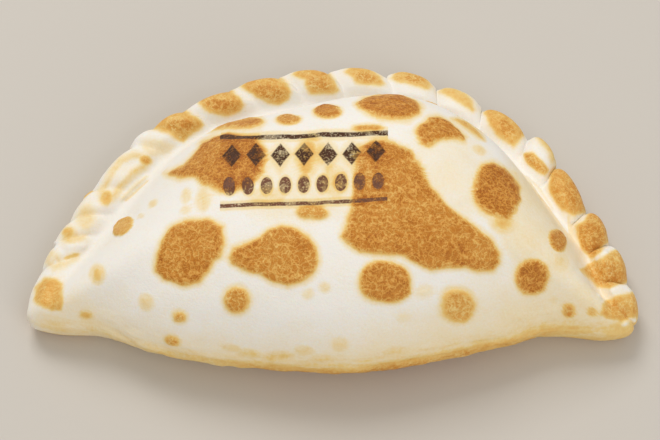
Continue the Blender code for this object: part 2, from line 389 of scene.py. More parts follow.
PLEATS = (
    Pleat(18.5, 2.8, 1.0, 0.2, 0.00, 0.3, 0.0, 0.4, PleatStyle.GOLDEN),
    Pleat(6.7, 1.9, 1.2, -0.2, 0.35, 0.3, 0.0, 1.0, PleatStyle.PALE),
    Pleat(7.0, 2.1, 0.9, -0.2, 0.45, 0.3, 0.4, 1.1, PleatStyle.PALE),
    Pleat(8.7, 2.3, 1.1, -0.2, 0.50, 0.4, 0.8, 1.1, PleatStyle.RINGED),
    Pleat(15.0, 2.6, 1.1, -0.3, 0.55, 0.5, 1.2, 1.2, PleatStyle.RINGED),
    Pleat(6.0, 2.1, 0.9, 0.0, 0.60, 0.4, 0.0, 1.3, PleatStyle.PALE),
    Pleat(7.7, 2.7, 1.0, -0.9, 0.65, 0.8, 0.0, 1.5, PleatStyle.GOLDEN),
    Pleat(13.9, 3.0, 1.2, -1.6, 0.70, 1.1, 0.0, 1.6, PleatStyle.GOLDEN),
    Pleat(12.2, 3.1, 1.1, -0.8, 0.70, 1.1, 0.0, 1.6, PleatStyle.BROWN),
    Pleat(11.6, 3.1, 1.0, 0.1, 0.65, 0.9, 0.0, 1.6, PleatStyle.GOLDEN),
    Pleat(13.7, 3.2, 0.9, 0.8, 0.55, 0.7, 0.0, 1.6, PleatStyle.GOLDEN),
    Pleat(12.2, 3.3, 0.5, 1.8, 0.45, 0.4, 0.0, 1.8, PleatStyle.GOLDEN),
    Pleat(12.0, 3.4, 1.1, 0.9, 0.35, 0.0, 0.0, 1.3, PleatStyle.RINGED),
    Pleat(13.4, 3.7, 1.9, -0.4, 0.40, -0.2, 0.0, 1.2, PleatStyle.GOLDEN),
    Pleat(9.5, 3.6, 1.6, 0.4, 0.50, -0.4, 0.0, 1.1, PleatStyle.RINGED),
    Pleat(14.5, 3.9, 2.2, -0.8, 0.60, -0.4, 0.0, 1.1, PleatStyle.BROWN),
    Pleat(9.8, 3.8, 2.0, 0.0, 0.70, -0.4, 0.0, 1.0, PleatStyle.BROWN),
    Pleat(10.8, 3.9, 2.0, 0.3, 0.70, -0.4, 0.0, 1.0, PleatStyle.BROWN),
    Pleat(9.6, 3.6, 1.9, 0.8, 0.50, -0.3, 0.0, 1.0, PleatStyle.GOLDEN),
    Pleat(6.5, 2.2, 1.2, 0.0, 0.20, -0.2, 0.0, 0.9, PleatStyle.RINGED),
)

STATIONS = (
    Station(0, 9.5, 7.6, 2.0, 1.10),
    Station(20, 11.0, 7.6, 2.1, 1.20),
    Station(50, 11.2, 7.0, 2.7, 1.60),
    Station(68, 11.2, 6.2, 3.3, 1.70),
    Station(90, 11.5, 5.6, 2.4, 1.20),
    Station(105, 11.5, 5.6, 2.0, 1.02),
    Station(120, 11.8, 5.8, 2.4, 1.35),
    Station(135, 11.0, 5.8, 2.1, 1.05),
    Station(150, 10.8, 6.8, 2.0, 1.00),
    Station(165, 11.0, 7.2, 2.0, 1.00),
    Station(180, 9.5, 7.4, 2.0, 1.10),
    Station(200, 7.0, 6.0, 2.0, 1.15),
    Station(220, 7.0, 6.0, 2.0, 1.30),
    Station(240, 7.0, 6.0, 2.1, 1.70),
    Station(270, 8.0, 6.0, 2.15, 2.10),
    Station(300, 7.0, 6.0, 2.1, 1.70),
    Station(320, 7.0, 6.0, 2.0, 1.30),
    Station(340, 7.0, 6.0, 2.0, 1.15),
)


def read_points(piece: bpy.types.Object) -> np.ndarray:
    """The piece's points, one row each."""
    points = np.empty(len(piece.data.vertices) * 3, np.float32)
    piece.data.vertices.foreach_get("co", points)
    return points.reshape(-1, 3).astype(float)


def write_points(piece: bpy.types.Object, points: np.ndarray) -> None:
    """Moves the piece's points."""
    piece.data.vertices.foreach_set("co", points.astype(np.float32).ravel())
    piece.data.update()


def read_value(piece: bpy.types.Object, name: str) -> np.ndarray:
    """What each of the piece's points carries under a name."""
    value = np.empty(len(piece.data.vertices), np.float32)
    piece.data.attributes[name].data.foreach_get("value", value)
    return value.astype(float)


def write_value(piece: bpy.types.Object, name: str, value: np.ndarray) -> None:
    """Gives each of the piece's points a value under a name."""
    layer = piece.data.attributes.new(name, "FLOAT", "POINT")
    layer.data.foreach_set("value", value.astype(np.float32))


SIZES = ("rise", "notch", "reach", "slant", "lean", "dimple", "saddle", "style")
RUNNING = ("slant", "saddle")  # sizes of a crease, which change evenly along a pleat to the next crease's


def bake_value(pleat: Pleat, name: str) -> float:
    """A pleat's size, or its baked tone."""
    value = getattr(pleat, name)
    return value.value if isinstance(value, PleatStyle) else value


def station(name: str, angle: np.ndarray) -> np.ndarray:
    """A cross-section value between the stations on either side.

    Args:
        name: The value's field.
        angle: Angles round the plan in radians.

    Returns:
        The value at each angle.
    """
    known = [s.angle for s in STATIONS]
    values = [getattr(s, name) for s in STATIONS]
    return np.interp(np.degrees(angle) % 360, known, values, period=360)


@dataclass
class Outline:
    """The plan: half a round behind and a flatter bulge in front, by length along it.

    Length runs clockwise seen from above, from the left tip's end of the pleating.
    """

    width: float = 130 * MM
    rim_depth: float = 62.4 * MM
    tip_depths: tuple[float, float] = (7.0 * MM, 10.2 * MM)  # left and right
    tip_squareness: float = 4
    tip_angle: float = math.radians(24)
    fold_bulge: float = 8.2 * MM
    fold_bulge_x: float = -1 * MM
    fold_bulge_reach: tuple[float, float] = (66 * MM, 46 * MM)  # to the left and to the right
    left_notch: tuple[float, float, float] = (2.6 * MM, -51 * MM, 8 * MM)  # depth, place and spread
    right_notch: tuple[float, float, float] = (3.4 * MM, 50 * MM, 9.5 * MM)
    # of each shoulder: how far it is drawn in, its angle and its spread
    left_shoulder: tuple[float, float, float] = (2.6 * MM, math.radians(150), math.radians(20))
    right_shoulder: tuple[float, float, float] = (1.5 * MM, math.radians(24), math.radians(15))
    ridge_x: float = 1 * MM
    ridge_y: float = 20 * MM
    ridge_half_length: float = 29 * MM
    ridge_bend: float = 7 * MM
    ridge_tilt: float = 3 * MM
    samples: int = 4800

    def __post_init__(self) -> None:
        """Walks once round the plan and measures it."""
        turn = np.linspace(0, 2 * math.pi, self.samples + 1)
        angle = math.pi + self.tip_angle - turn
        side = np.cos(angle)
        x = self.width / 2 * side
        left, right = self.tip_depths
        tip = left + (right - left) * (1 + side) / 2
        tip = tip * (1 - np.abs(side) ** self.tip_squareness) ** (1 / self.tip_squareness)
        reach = np.where(x < self.fold_bulge_x, *self.fold_bulge_reach)
        bulge = np.clip(1 - ((x - self.fold_bulge_x) / reach) ** 2, 0, 1) ** 2
        front = -tip - self.fold_bulge * bulge
        for depth, where, spread in (self.left_notch, self.right_notch):
            front = front + depth * np.exp(-(((x - where) / spread) ** 2)) * np.abs(np.sin(angle))
        flatter = 1.0
        for amount, where, spread in (self.left_shoulder, self.right_shoulder):
            flatter = flatter - amount / self.rim_depth * np.exp(-(((angle - where) / spread) ** 2))
        self.x = x * flatter
        self.y = np.where(np.sin(angle) > 0, self.rim_depth * np.sin(angle), front) * flatter
        self.angle = angle
        step = np.hypot(np.diff(self.x), np.diff(self.y))
        self.along = np.concatenate([[0.0], np.cumsum(step)])
        self.length = self.along[-1]
        self.pleated = np.interp(math.pi + 2 * self.tip_angle, turn, self.along)

    def ridge(self, side: np.ndarray) -> np.ndarray:
        """Plan position on the belly's ridge, side being -1 at its left end and 1 at its right end."""
        bend = self.ridge_y + self.ridge_tilt * side - self.ridge_bend * side**2
        return np.stack([self.ridge_x + self.ridge_half_length * side, bend], -1)

    def at(self, along: np.ndarray) -> tuple[np.ndarray, np.ndarray, np.ndarray]:
        """Places on the outline.

        Args:
            along: Lengths along it.

        Returns:
            Edge positions, the ridge points that they face, and their angles.
        """
        here = np.mod(along, self.length)
        edge = np.stack([np.interp(here, self.along, self.x), np.interp(here, self.along, self.y)], -1)
        angle = np.interp(here, self.along, self.angle)
        return edge, self.ridge(np.cos(angle)), angle


def inwards(edge: np.ndarray, ridge: np.ndarray, distance: np.ndarray) -> np.ndarray:
    """Points in from the edge, straight towards the ridge.

    Args:
        edge: Edge positions.
        ridge: Ridge points.
        distance: How far in.

    Returns:
        Plan positions.
    """
    spoke = ridge - edge
    return edge + spoke / np.linalg.norm(spoke, axis=-1, keepdims=True) * distance[..., None]


@dataclass
class Dough:
    """The folded and sealed dough, as a fine net of points that Geometry Nodes pleat."""

    outline: Outline = field(default_factory=Outline)
    belly_height: float = 34 * MM
    ridge_drop: float = 7 * MM
    ridge_spread: float = 3
    rounding: float = 20 * MM
    least_rounding: float = 3 * MM
    unevenness: float = 0.5 * MM
    uneven_scale: float = 26 * MM
    uneven_seeds: tuple[float, float, float] = (31.0, 37.0, 41.0)
    uneven_heights: tuple[float, float] = (0.5 * MM, 9 * MM)  # none at the first, all of it at the second
    fold_widest: float = 9.5 * MM
    fold_widest_at_tip: float = 5 * MM
    fold_undercut: float = 11 * MM
    seal_height: float = 6.4 * MM
    seal_edge_height: float = 3.1 * MM
    seal_round_start: float = 0.42
    edge_undercut: float = 2.6 * MM
    rim_clearance: float = 0.5 * MM
    rim_flat_at: float = 15 * MM
    tip_blend: float = 8 * MM
    seal_blends: tuple[float, float] = (20 * MM, 13 * MM)  # from fold to seal, at the left and right tips
    pillow: dict[str, float] = field(default_factory=lambda: {
        "Skew": 0.85, "Middle": 0.60, "Inner half": 0.62, "Outer half": 0.42, "Power along": 2.4,
        "Power across": 2.6, "Roundness": 0.55, "Scallop power": 2.5, "Press along": 0.42,
        "Press across": 0.2, "Blend": 3.5,
    })
    pleat_onset: tuple[float, float] = (0.02, 0.48)  # across the border, where the pleats start to rise
    pleat_column: float = 0.5 * MM
    fold_columns: int = 168
    belly_rows: int = 92
    border_rows: int = 38
    edge_rows: int = 10
    base_rows: int = 18
    valley_rows: tuple[int, int] = (52, 30)  # on the belly and on the border
    valley_ease: float = 4.0 * MM
    valley_reach: float = 8.5 * MM

    def columns(self) -> tuple[np.ndarray, np.ndarray, dict[str, np.ndarray]]:
        """Where the net's columns stand.

        Returns:
            Their lengths along the outline, their places in their pleats from 0 to 1, and the sizes of those
            pleats by name.
        """
        along, place, sizes = [], [], {name: [] for name in SIZES}
        scale = self.outline.pleated / sum(pleat.span for pleat in PLEATS)
        start = 0.0
        for index, pleat in enumerate(PLEATS):
            span = pleat.span * scale
            after = PLEATS[min(index + 1, len(PLEATS) - 1)]
            even = np.arange(round(span / self.pleat_column)) / round(span / self.pleat_column)
            crowded = (even + (1 - np.cos(math.pi * even)) / 2) / 2
            along.append(start + crowded * span)
            place.append(crowded)
            for name in SIZES:
                now, then = bake_value(pleat, name), bake_value(after, name)
                flat = np.full(len(even), now)
                sizes[name].append(now + (then - now) * crowded if name in RUNNING else flat)
            start += span
        rest = np.arange(self.fold_columns) / self.fold_columns
        along.append(start + rest * (self.outline.length - start))
        place.append(rest * 0)
        for name in SIZES:
            sizes[name].append(rest * 0)
        joined = {name: np.concatenate(values) for name, values in sizes.items()}
        return np.concatenate(along), np.concatenate(place), joined

    def dome(self, edge: np.ndarray, edge_z: np.ndarray, angle: np.ndarray, share: np.ndarray) -> np.ndarray:
        """The belly's points.

        Args:
            edge: Where each column's belly ends, in plan.
            edge_z: Its height there.
            angle: Each column's angle.
            share: For each column and row, 0 at the middle of the ridge and 1 at the edge.

        Returns:
            Points by column and row.
        """
        side = np.cos(angle)[:, None] * (1 - (1 - share) ** self.ridge_spread)
        ridge = self.outline.ridge(side)
        plan = ridge + (edge[:, None] - ridge) * share[..., None]
        ridge_z = self.belly_height - self.ridge_drop * side**2
        fullness = station("fullness", angle)[:, None]
        steepness = station("steepness", angle)[:, None]
        rise = (1 - share**fullness) ** (1 / steepness)
        z = edge_z[:, None] + (ridge_z - edge_z[:, None]) * rise
        return np.concatenate([plan, z[..., None]], -1)

    def belly_shares(self, angle: np.ndarray) -> np.ndarray:
        """Shares of each spoke at which the belly's rows lie, closer together where it is steeper."""
        arc = np.linspace(0, math.pi / 2, self.belly_rows + 1)[:-1]
        return np.sin(arc)[None] ** (2 / station("fullness", angle))[:, None]

    def base(self, edge: np.ndarray, ridge: np.ndarray) -> np.ndarray:
        """The flat base's rows.

        Args:
            edge: Edge positions.
            ridge: Ridge points.

        Returns:
            Points by column and row, from the base's border to near its middle.
        """
        shares = np.linspace(1, 0, self.base_rows + 1)[:-1][None, :, None]
        start = inwards(edge, ridge, np.full(len(edge), self.rim_flat_at))[:, None]
        plan = start * shares + ridge[:, None] * (1 - shares)
        return np.concatenate([plan, plan[..., :1] * 0], -1)

    def folded(self, along: np.ndarray) -> np.ndarray:
        """Every column as if the dough were folded there.

        Args:
            along: The columns' lengths along the outline.

        Returns:
            Points by column and row.
        """
        edge, ridge, angle = self.outline.at(along)
        middle = np.abs(np.sin(angle))
        widest = self.fold_widest_at_tip + (self.fold_widest - self.fold_widest_at_tip) * middle
        lower = station("border", angle) * MM / np.linalg.norm(ridge - edge, axis=-1)
        fold = 1 - lower[:, None] * np.linspace(1, 0, self.border_rows + 1)[None] ** 2
        shares = np.concatenate([self.belly_shares(angle) * (1 - lower)[:, None], fold], 1)
        above = self.dome(edge, widest, angle, shares)
        arc = np.linspace(0, math.pi / 2, self.edge_rows + 1)[None, 1:]
        undercut = self.edge_undercut + (self.fold_undercut - self.edge_undercut) * middle
        under = inwards(edge[:, None], ridge[:, None], undercut[:, None] * (1 - np.cos(arc)))
        under_z = widest[:, None] * (1 - np.sin(arc))
        return np.concatenate([above, np.concatenate([under, under_z[..., None]], -1),
                               self.base(edge, ridge)], 1)

    def sealed(self, along: np.ndarray, slant: np.ndarray) -> tuple[np.ndarray, dict[str, np.ndarray]]:
        """Every column as if the dough were sealed flat there, ready for its pleats.

        Args:
            along: The columns' lengths along the outline.
            slant: How the creases run at each.

        Returns:
            Points by column and row, and what the pleating needs there: across, 0 at the valley and 1 at the
            edge; puffed and scalloped, how much a point rises and draws in; inward and sideways directions.
        """
        border = station("border", self.outline.at(along)[2]) * MM
        outer, ridge, angle = self.outline.at(along + slant * border)
        valley = station("valley", angle) * MM
        belly = self.dome(inwards(outer, ridge, border), valley, angle, self.belly_shares(angle))

        across = np.linspace(0, 1, self.border_rows + 1)[None] + along[:, None] * 0
        run = slant[:, None] * border[:, None] * (1 - across)

        def lying(shift: float) -> np.ndarray:
            """The border's plan with every point moved on along the edge."""
            edge, top, _ = self.outline.at(along[:, None] + run + shift)
            return inwards(edge, top, border[:, None] * (1 - across))

        def facing() -> np.ndarray:
            """The border's directions straight inwards."""
            edge, top, _ = self.outline.at(along[:, None] + run)
            return inwards(edge, top, across * 0 + 1) - edge

        nudge = 0.5 * MM
        plan = lying(0.0)
        sideways = (lying(nudge) - lying(-nudge)) / (2 * nudge)
        turned = np.clip((across - self.seal_round_start) / (1 - self.seal_round_start), 0, 1)
        z = self.seal_edge_height + (self.seal_height - self.seal_edge_height) * np.sqrt(1 - turned**3)
        z = z + (valley[:, None] - self.seal_height) * (1 - across) ** 2
        rim = np.concatenate([plan, z[..., None]], -1)

        edge, ridge, _ = self.outline.at(along)
        arc = np.linspace(0, math.pi / 2, self.edge_rows + 1)[None, 1:]
        arc = arc + across[:, :1] * 0
        under = inwards(edge[:, None], ridge[:, None], self.edge_undercut * (1 - np.cos(arc)))
        under_z = self.rim_clearance + (self.seal_edge_height - self.rim_clearance) * (1 - np.sin(arc))
        below = np.concatenate([under, under_z[..., None]], -1)
        into = (inwards(edge, ridge, border * 0 + 1) - edge)[:, None]

        def rows(belly_value: float, rim_value: np.ndarray, edge_value: float) -> np.ndarray:
            """One value for every row: along the belly, across the border, round the edge, and 0 below."""
            count = len(along)
            return np.concatenate([
                np.full((count, self.belly_rows), belly_value), rim_value,
                np.full((count, self.edge_rows), edge_value), np.zeros((count, self.base_rows)),
            ], 1)

        def flat(rim_value: np.ndarray, edge_value: np.ndarray) -> np.ndarray:
            """One direction for every row, nothing on belly and base."""
            count = len(along)
            pair = np.concatenate([np.zeros((count, self.belly_rows, 2)), rim_value,
                                   edge_value, np.zeros((count, self.base_rows, 2))], 1)
            return np.concatenate([pair, pair[..., :1] * 0], -1)

        values = {
            "across": rows(0.0, across, 1.0),
            "puffed": rows(0.0, across * 0 + 1, 0.0),
            "scalloped": rows(0.0, across**2, 1.0),
            "inward": flat(facing(), np.repeat(into, self.edge_rows, 1)),
            "sideways": flat(sideways, np.zeros((len(along), self.edge_rows, 2))),
        }
        return np.concatenate([belly, rim, below, self.base(edge, ridge)], 1), values

    def rounded(self, net: np.ndarray, along: np.ndarray) -> np.ndarray:
        """Evens out the belly's rows along the outline, more and more towards its top.

        Args:
            net: Points by column and row.
            along: The columns' lengths along the outline.

        Returns:
            The same net, evened.
        """
        apart = np.abs(along[:, None] - along[None, :])
        apart = np.minimum(apart, self.outline.length - apart)
        share = (np.roll(along, -1) - np.roll(along, 1)) % self.outline.length
        for row in range(1, self.belly_rows):
            reach = max(self.rounding * (1 - row / self.belly_rows), self.least_rounding)
            weight = np.exp(-((apart / reach) ** 2)) * share
            net[:, row] = weight @ net[:, row] / weight.sum(1, keepdims=True)
        return net

    def eased(self, net: np.ndarray) -> np.ndarray:
        """Rounds out the valley between belly and border.

        Args:
            net: Points by column and row.

        Returns:
            The same net, with a soft valley.
        """
        inner, outer = self.valley_rows
        part = net[:, self.belly_rows - inner:self.belly_rows + outer]
        step = np.linalg.norm(np.diff(part, axis=1), axis=2)
        run = np.concatenate([np.zeros((len(net), 1)), np.cumsum(step, 1)], 1)
        apart = run[:, :, None] - run[:, None, :]
        weight = np.exp(-((apart / self.valley_ease) ** 2)) * np.gradient(run, axis=1)[:, None, :]
        soft = weight @ part / weight.sum(2, keepdims=True)
        near = np.exp(-(((run - run[:, inner:inner + 1]) / self.valley_reach) ** 4))
        part += near[..., None] * (soft - part)
        return net

    def net(self) -> bpy.types.Object:
        """Makes the dough before pleating.

        Returns:
            The piece, its points carrying the values that the pleating needs.
        """
        along, place, sizes = self.columns()
        pleated = smoothstep(along, 0, self.tip_blend)
        pleated = pleated * smoothstep(self.outline.pleated - along, 0, self.tip_blend)
        folded = self.folded(along)
        sealed, values = self.sealed(along, sizes["slant"])
        shut = smoothstep(along, 0, self.seal_blends[0])
        shut = shut * smoothstep(self.outline.pleated - along, 0, self.seal_blends[1])
        points = self.eased(self.rounded(folded + shut[:, None, None] * (sealed - folded), along))
        sizes |= {"place": place, "pleated": pleated}
        values |= {name: np.repeat(value[:, None], points.shape[1], 1) for name, value in sizes.items()}
        return self.closed(points, values)

    def closed(self, points: np.ndarray, values: dict[str, np.ndarray]) -> bpy.types.Object:
        """Joins a net's points to a closed mesh with one point at its top and one in the middle of its base.

        Args:
            points: Points by column and row; the first row is the top, many times over.
            values: What each point carries.

        Returns:
            The piece.
        """
        count, rows = points.shape[:2]
        ring = points[:, 1:].transpose(1, 0, 2).reshape(-1, 3)
        bottom = [self.outline.ridge_x, self.outline.ridge_y, 0.0]
        places = np.concatenate([ring, points[:1, 0], [bottom]])
        top, foot = len(ring), len(ring) + 1
        here = np.arange(count)
        after = (here + 1) % count
        faces = [(top, i, j) for i, j in zip(here, after)]
        for row in range(rows - 2):
            a, b = row * count, (row + 1) * count
            faces += [(a + i, b + i, b + j, a + j) for i, j in zip(here, after)]
        last = (rows - 2) * count
        faces += [(last + i, foot, last + j) for i, j in zip(here, after)]
        mesh = bpy.data.meshes.new(PIECE)
        mesh.from_pydata(places.tolist(), [], [tuple(int(v) for v in reversed(f)) for f in faces])
        mesh.shade_smooth()
        for name, value in values.items():
            wide = value.ndim == 3
            ends = value[:1, 0] * 0
            kept = np.concatenate([value[:, 1:].swapaxes(0, 1).reshape(-1, *value.shape[2:]), ends, ends])
            layer = mesh.attributes.new(name, "FLOAT_VECTOR" if wide else "FLOAT", "POINT")
            layer.data.foreach_set("vector" if wide else "value", kept.astype(np.float32).ravel())
        piece = bpy.data.objects.new(PIECE, mesh)
        bpy.context.scene.collection.objects.link(piece)
        return piece

    def pleat(self, piece: bpy.types.Object, finish: bpy.types.Material) -> None:
        """Pleats the sealed border with Geometry Nodes.

        Args:
            piece: The dough before pleating.
            finish: Material of the result.
        """
        form = FormTree("pleated_rim", self.pillow | {"Millimetre": MM}, finish)
        size, carried = form.size, form.attribute
        place, across, puffed = carried("place"), carried("across"), carried("puffed")
        middle, roundness, blend = size("Middle"), size("Roundness"), size("Blend")
        skewed = abs((place ** size("Skew")) * 2.0 - 1.0)
        outer = across.through("GREATER_THAN", middle)
        half = size("Inner half") + (size("Outer half") - size("Inner half")) * outer
        flank = abs((across - middle) / half) ** size("Power across")
        puff = (1.0 - skewed ** size("Power along") - flank).most(0.0) ** roundness * puffed
        bridge = (1.0 - flank).most(0.0) ** roundness * puffed
        swell = (1.0 - skewed ** size("Scallop power")).most(0.0) ** 0.5
        press = (place * 2.0 - 1.0).bell(size("Press along")) * (across - middle).bell(size("Press across"))
        share = carried("pleated") * size("Millimetre")
        scallop = carried("notch") * (1.0 - swell) - carried("reach") * swell
        inward = scallop * carried("scalloped") * share
        onset = across.step(*self.pleat_onset)
        aside = carried("lean") * puff * share * onset
        lift = ((carried("rise") * puff) ** blend + (carried("saddle") * bridge) ** blend) ** (blend ** -1.0)
        lift = (lift - carried("dimple") * press * puffed) * onset
        up = form.tree.nodes.new("ShaderNodeCombineXYZ")
        plug(form.tree, lift * share, up.inputs["Z"])
        form.end(
            form.scaled(carried("inward", "FLOAT_VECTOR"), inward),
            form.scaled(carried("sideways", "FLOAT_VECTOR"), aside),
            Wire(form.tree, up.outputs[0]),
        )
        form.apply(piece)

    def settle(self, piece: bpy.types.Object) -> Vector:
        """Gives the dough its slow unevenness and stands it in the CAD solid's place.

        Args:
            piece: The pleated dough.

        Returns:
            How far it moved: where the middle of the rim's round now is.
        """
        points = read_points(piece)
        lift = smoothstep(points[:, 2], *self.uneven_heights)
        drift = np.stack([Speckle(self.uneven_scale, seed).at(points) for seed in self.uneven_seeds], -1)
        points += self.unevenness * lift[:, None] * drift
        low, high = np.array(CAD_BOX[0]), np.array(CAD_BOX[1])
        move = (low + high) / 2 - (points.min(0) + points.max(0)) / 2
        move[2] = low[2] - points[:, 2].min()
        write_points(piece, points + move)
        return Vector(move)


# -------------------------------------------------------------------------------------- The photograph's view


@dataclass
class PhotoView:
    """The camera, standing as the photograph's did: in front and well above the table."""

    rim_centre: Vector
    elevation: float = math.radians(58)
    distance: float = 450 * MM
    width_seen: float = 130 * MM  # tip to tip
    width_pixels: float = 605
    frame_width: int = 660
    frame_height: int = 440
    sensor: float = 36.0
    aim_right: float = -0.35 * MM  # from the rim's centre to the point that the picture centres on
    aim_back: float = 17.5 * MM
    aim_up: float = 13 * MM
    nearest: float = 10 * MM

    def __post_init__(self) -> None:
        """Works out where the camera stands and how it sees."""
        self.focal = self.width_pixels / self.width_seen * self.distance
        self.forward = Vector((0, math.cos(self.elevation), -math.sin(self.elevation)))
        self.up = Vector((0, math.sin(self.elevation), math.cos(self.elevation)))
        centre = self.rim_centre
        target = Vector((centre.x + self.aim_right, centre.y + self.aim_back, self.aim_up))
        self.stand = target - self.forward * self.distance

    def make(self) -> None:
        """Adds the camera to the scene."""
        lens = bpy.data.cameras.new("camera")
        lens.sensor_width = self.sensor
        lens.lens = self.focal * self.sensor / self.frame_width
        lens.clip_start = self.nearest
        camera = bpy.data.objects.new("camera", lens)
        bpy.context.scene.collection.objects.link(camera)
        camera.location = self.stand
        camera.rotation_euler = self.forward.to_track_quat("-Z", "Y").to_euler()
        bpy.context.scene.camera = camera

    def ray(self, pixel: tuple[float, float]) -> Vector:
        """Direction in which the camera sees a pixel."""
        right, down = pixel[0] - self.frame_width / 2, pixel[1] - self.frame_height / 2
        return (self.forward * self.focal + Vector((right, 0, 0)) - self.up * down).normalized()

    def pixels(self, points: np.ndarray) -> np.ndarray:
        """Where the camera sees points.

        Args:
            points: Places, one row each.

        Returns:
            Pixels right and down, one row each.
        """
        away = points - np.array(self.stand)
        deep = away @ np.array(self.forward)
        right = self.frame_width / 2 + away[:, 0] / deep * self.focal
        down = self.frame_height / 2 - away @ np.array(self.up) / deep * self.focal
        return np.stack([right, down], -1)


@dataclass
class Skin:
    """The pleated dough's surface, as the camera meets it."""

    piece: bpy.types.Object
    view: PhotoView
    least_slope: float = 0.3  # of a ray to a plane, so that an oval seen edge on isn't drawn out too far

    def __post_init__(self) -> None:
        """Reads the surface and lays its search tree."""
        mesh = self.piece.data
        self.points = read_points(self.piece)
        normals = np.empty(len(mesh.vertices) * 3, np.float32)
        mesh.vertex_normals.foreach_get("vector", normals)
        faces = [tuple(face.vertices) for face in mesh.polygons]
        self.tree = BVHTree.FromPolygons([Vector(p) for p in self.points], faces)
        self.pixels = self.view.pixels(self.points)
        towards = np.array(self.view.stand) - self.points
        towards /= np.linalg.norm(towards, axis=1, keepdims=True)
        self.facing = (normals.reshape(-1, 3).astype(float) * towards).sum(1)

    def touch(self, pixel: tuple[float, float]) -> tuple[Vector, Vector] | None:
        """Where the camera's ray through a pixel meets the dough.

        Args:
            pixel: The pixel.

        Returns:
            The point and the outward normal there, or nothing where it misses.
        """
        place, normal, _, _ = self.tree.ray_cast(self.view.stand, self.view.ray(pixel))
        return None if place is None else (place, normal)

    def on_plane(self, pixel: tuple[float, float], place: Vector, normal: Vector) -> Vector:
        """Where the ray through a pixel meets a plane that touches the dough.

        Args:
            pixel: The pixel.
            place: The plane's point.
            normal: The plane's normal.

        Returns:
            The meeting point.
        """
        ray = self.view.ray(pixel)
        slope = min(ray.dot(normal), -self.least_slope)
        return self.view.stand + ray * ((place - self.view.stand).dot(normal) / slope)


# ----------------------------------------------------------------------------------------------------- Baking


class Skill(Enum):
    """How a toasted place stands on the skin, and its share of a blister's height."""

    BLISTER = 1.0  # puffed, with wrinkled skin
    STAIN = 0.25  # coloured, hardly raised
    CREST = 0.1  # the top of a pleat


@dataclass(frozen=True)
class Spot:
    """A toasted place, seen as an oval."""

    at: tuple[float, float]  # pixel of its middle
    size: tuple[float, float]  # pixels across and down before it is turned
    tone: float  # 0 for white dough, 0.5 for golden, 1 for dark brown
    turn: float = 0.0  # degrees, clockwise as seen
    square: float = 2.0  # 2 is an oval, more has corners
    soft: float = 1.2  # width of its fading edge in millimetres
    over: bool = False  # reaches into the valley and up the rim's inner side


@dataclass(frozen=True)
class Patch:
    """A large toasted place with an outline of its own."""

    corners: tuple[tuple[float, float], ...]  # pixels round it
    tone: float
    soft: float = 1.3
    hollow: float = 0.0  # depth in millimetres past which a ring is white again, 0 for a full patch


@dataclass(frozen=True)
class Line:
    """A narrow crease or lip that follows a few pixels."""

    through: tuple[tuple[float, float], ...]
    width: float  # millimetres
    height: float  # millimetres, below 0 for a crease
    # 0 on a raised lip whitens it instead: partly less browned dough, partly a painted highlight on its lit
    #                                       edge
    tone: float = 0.0


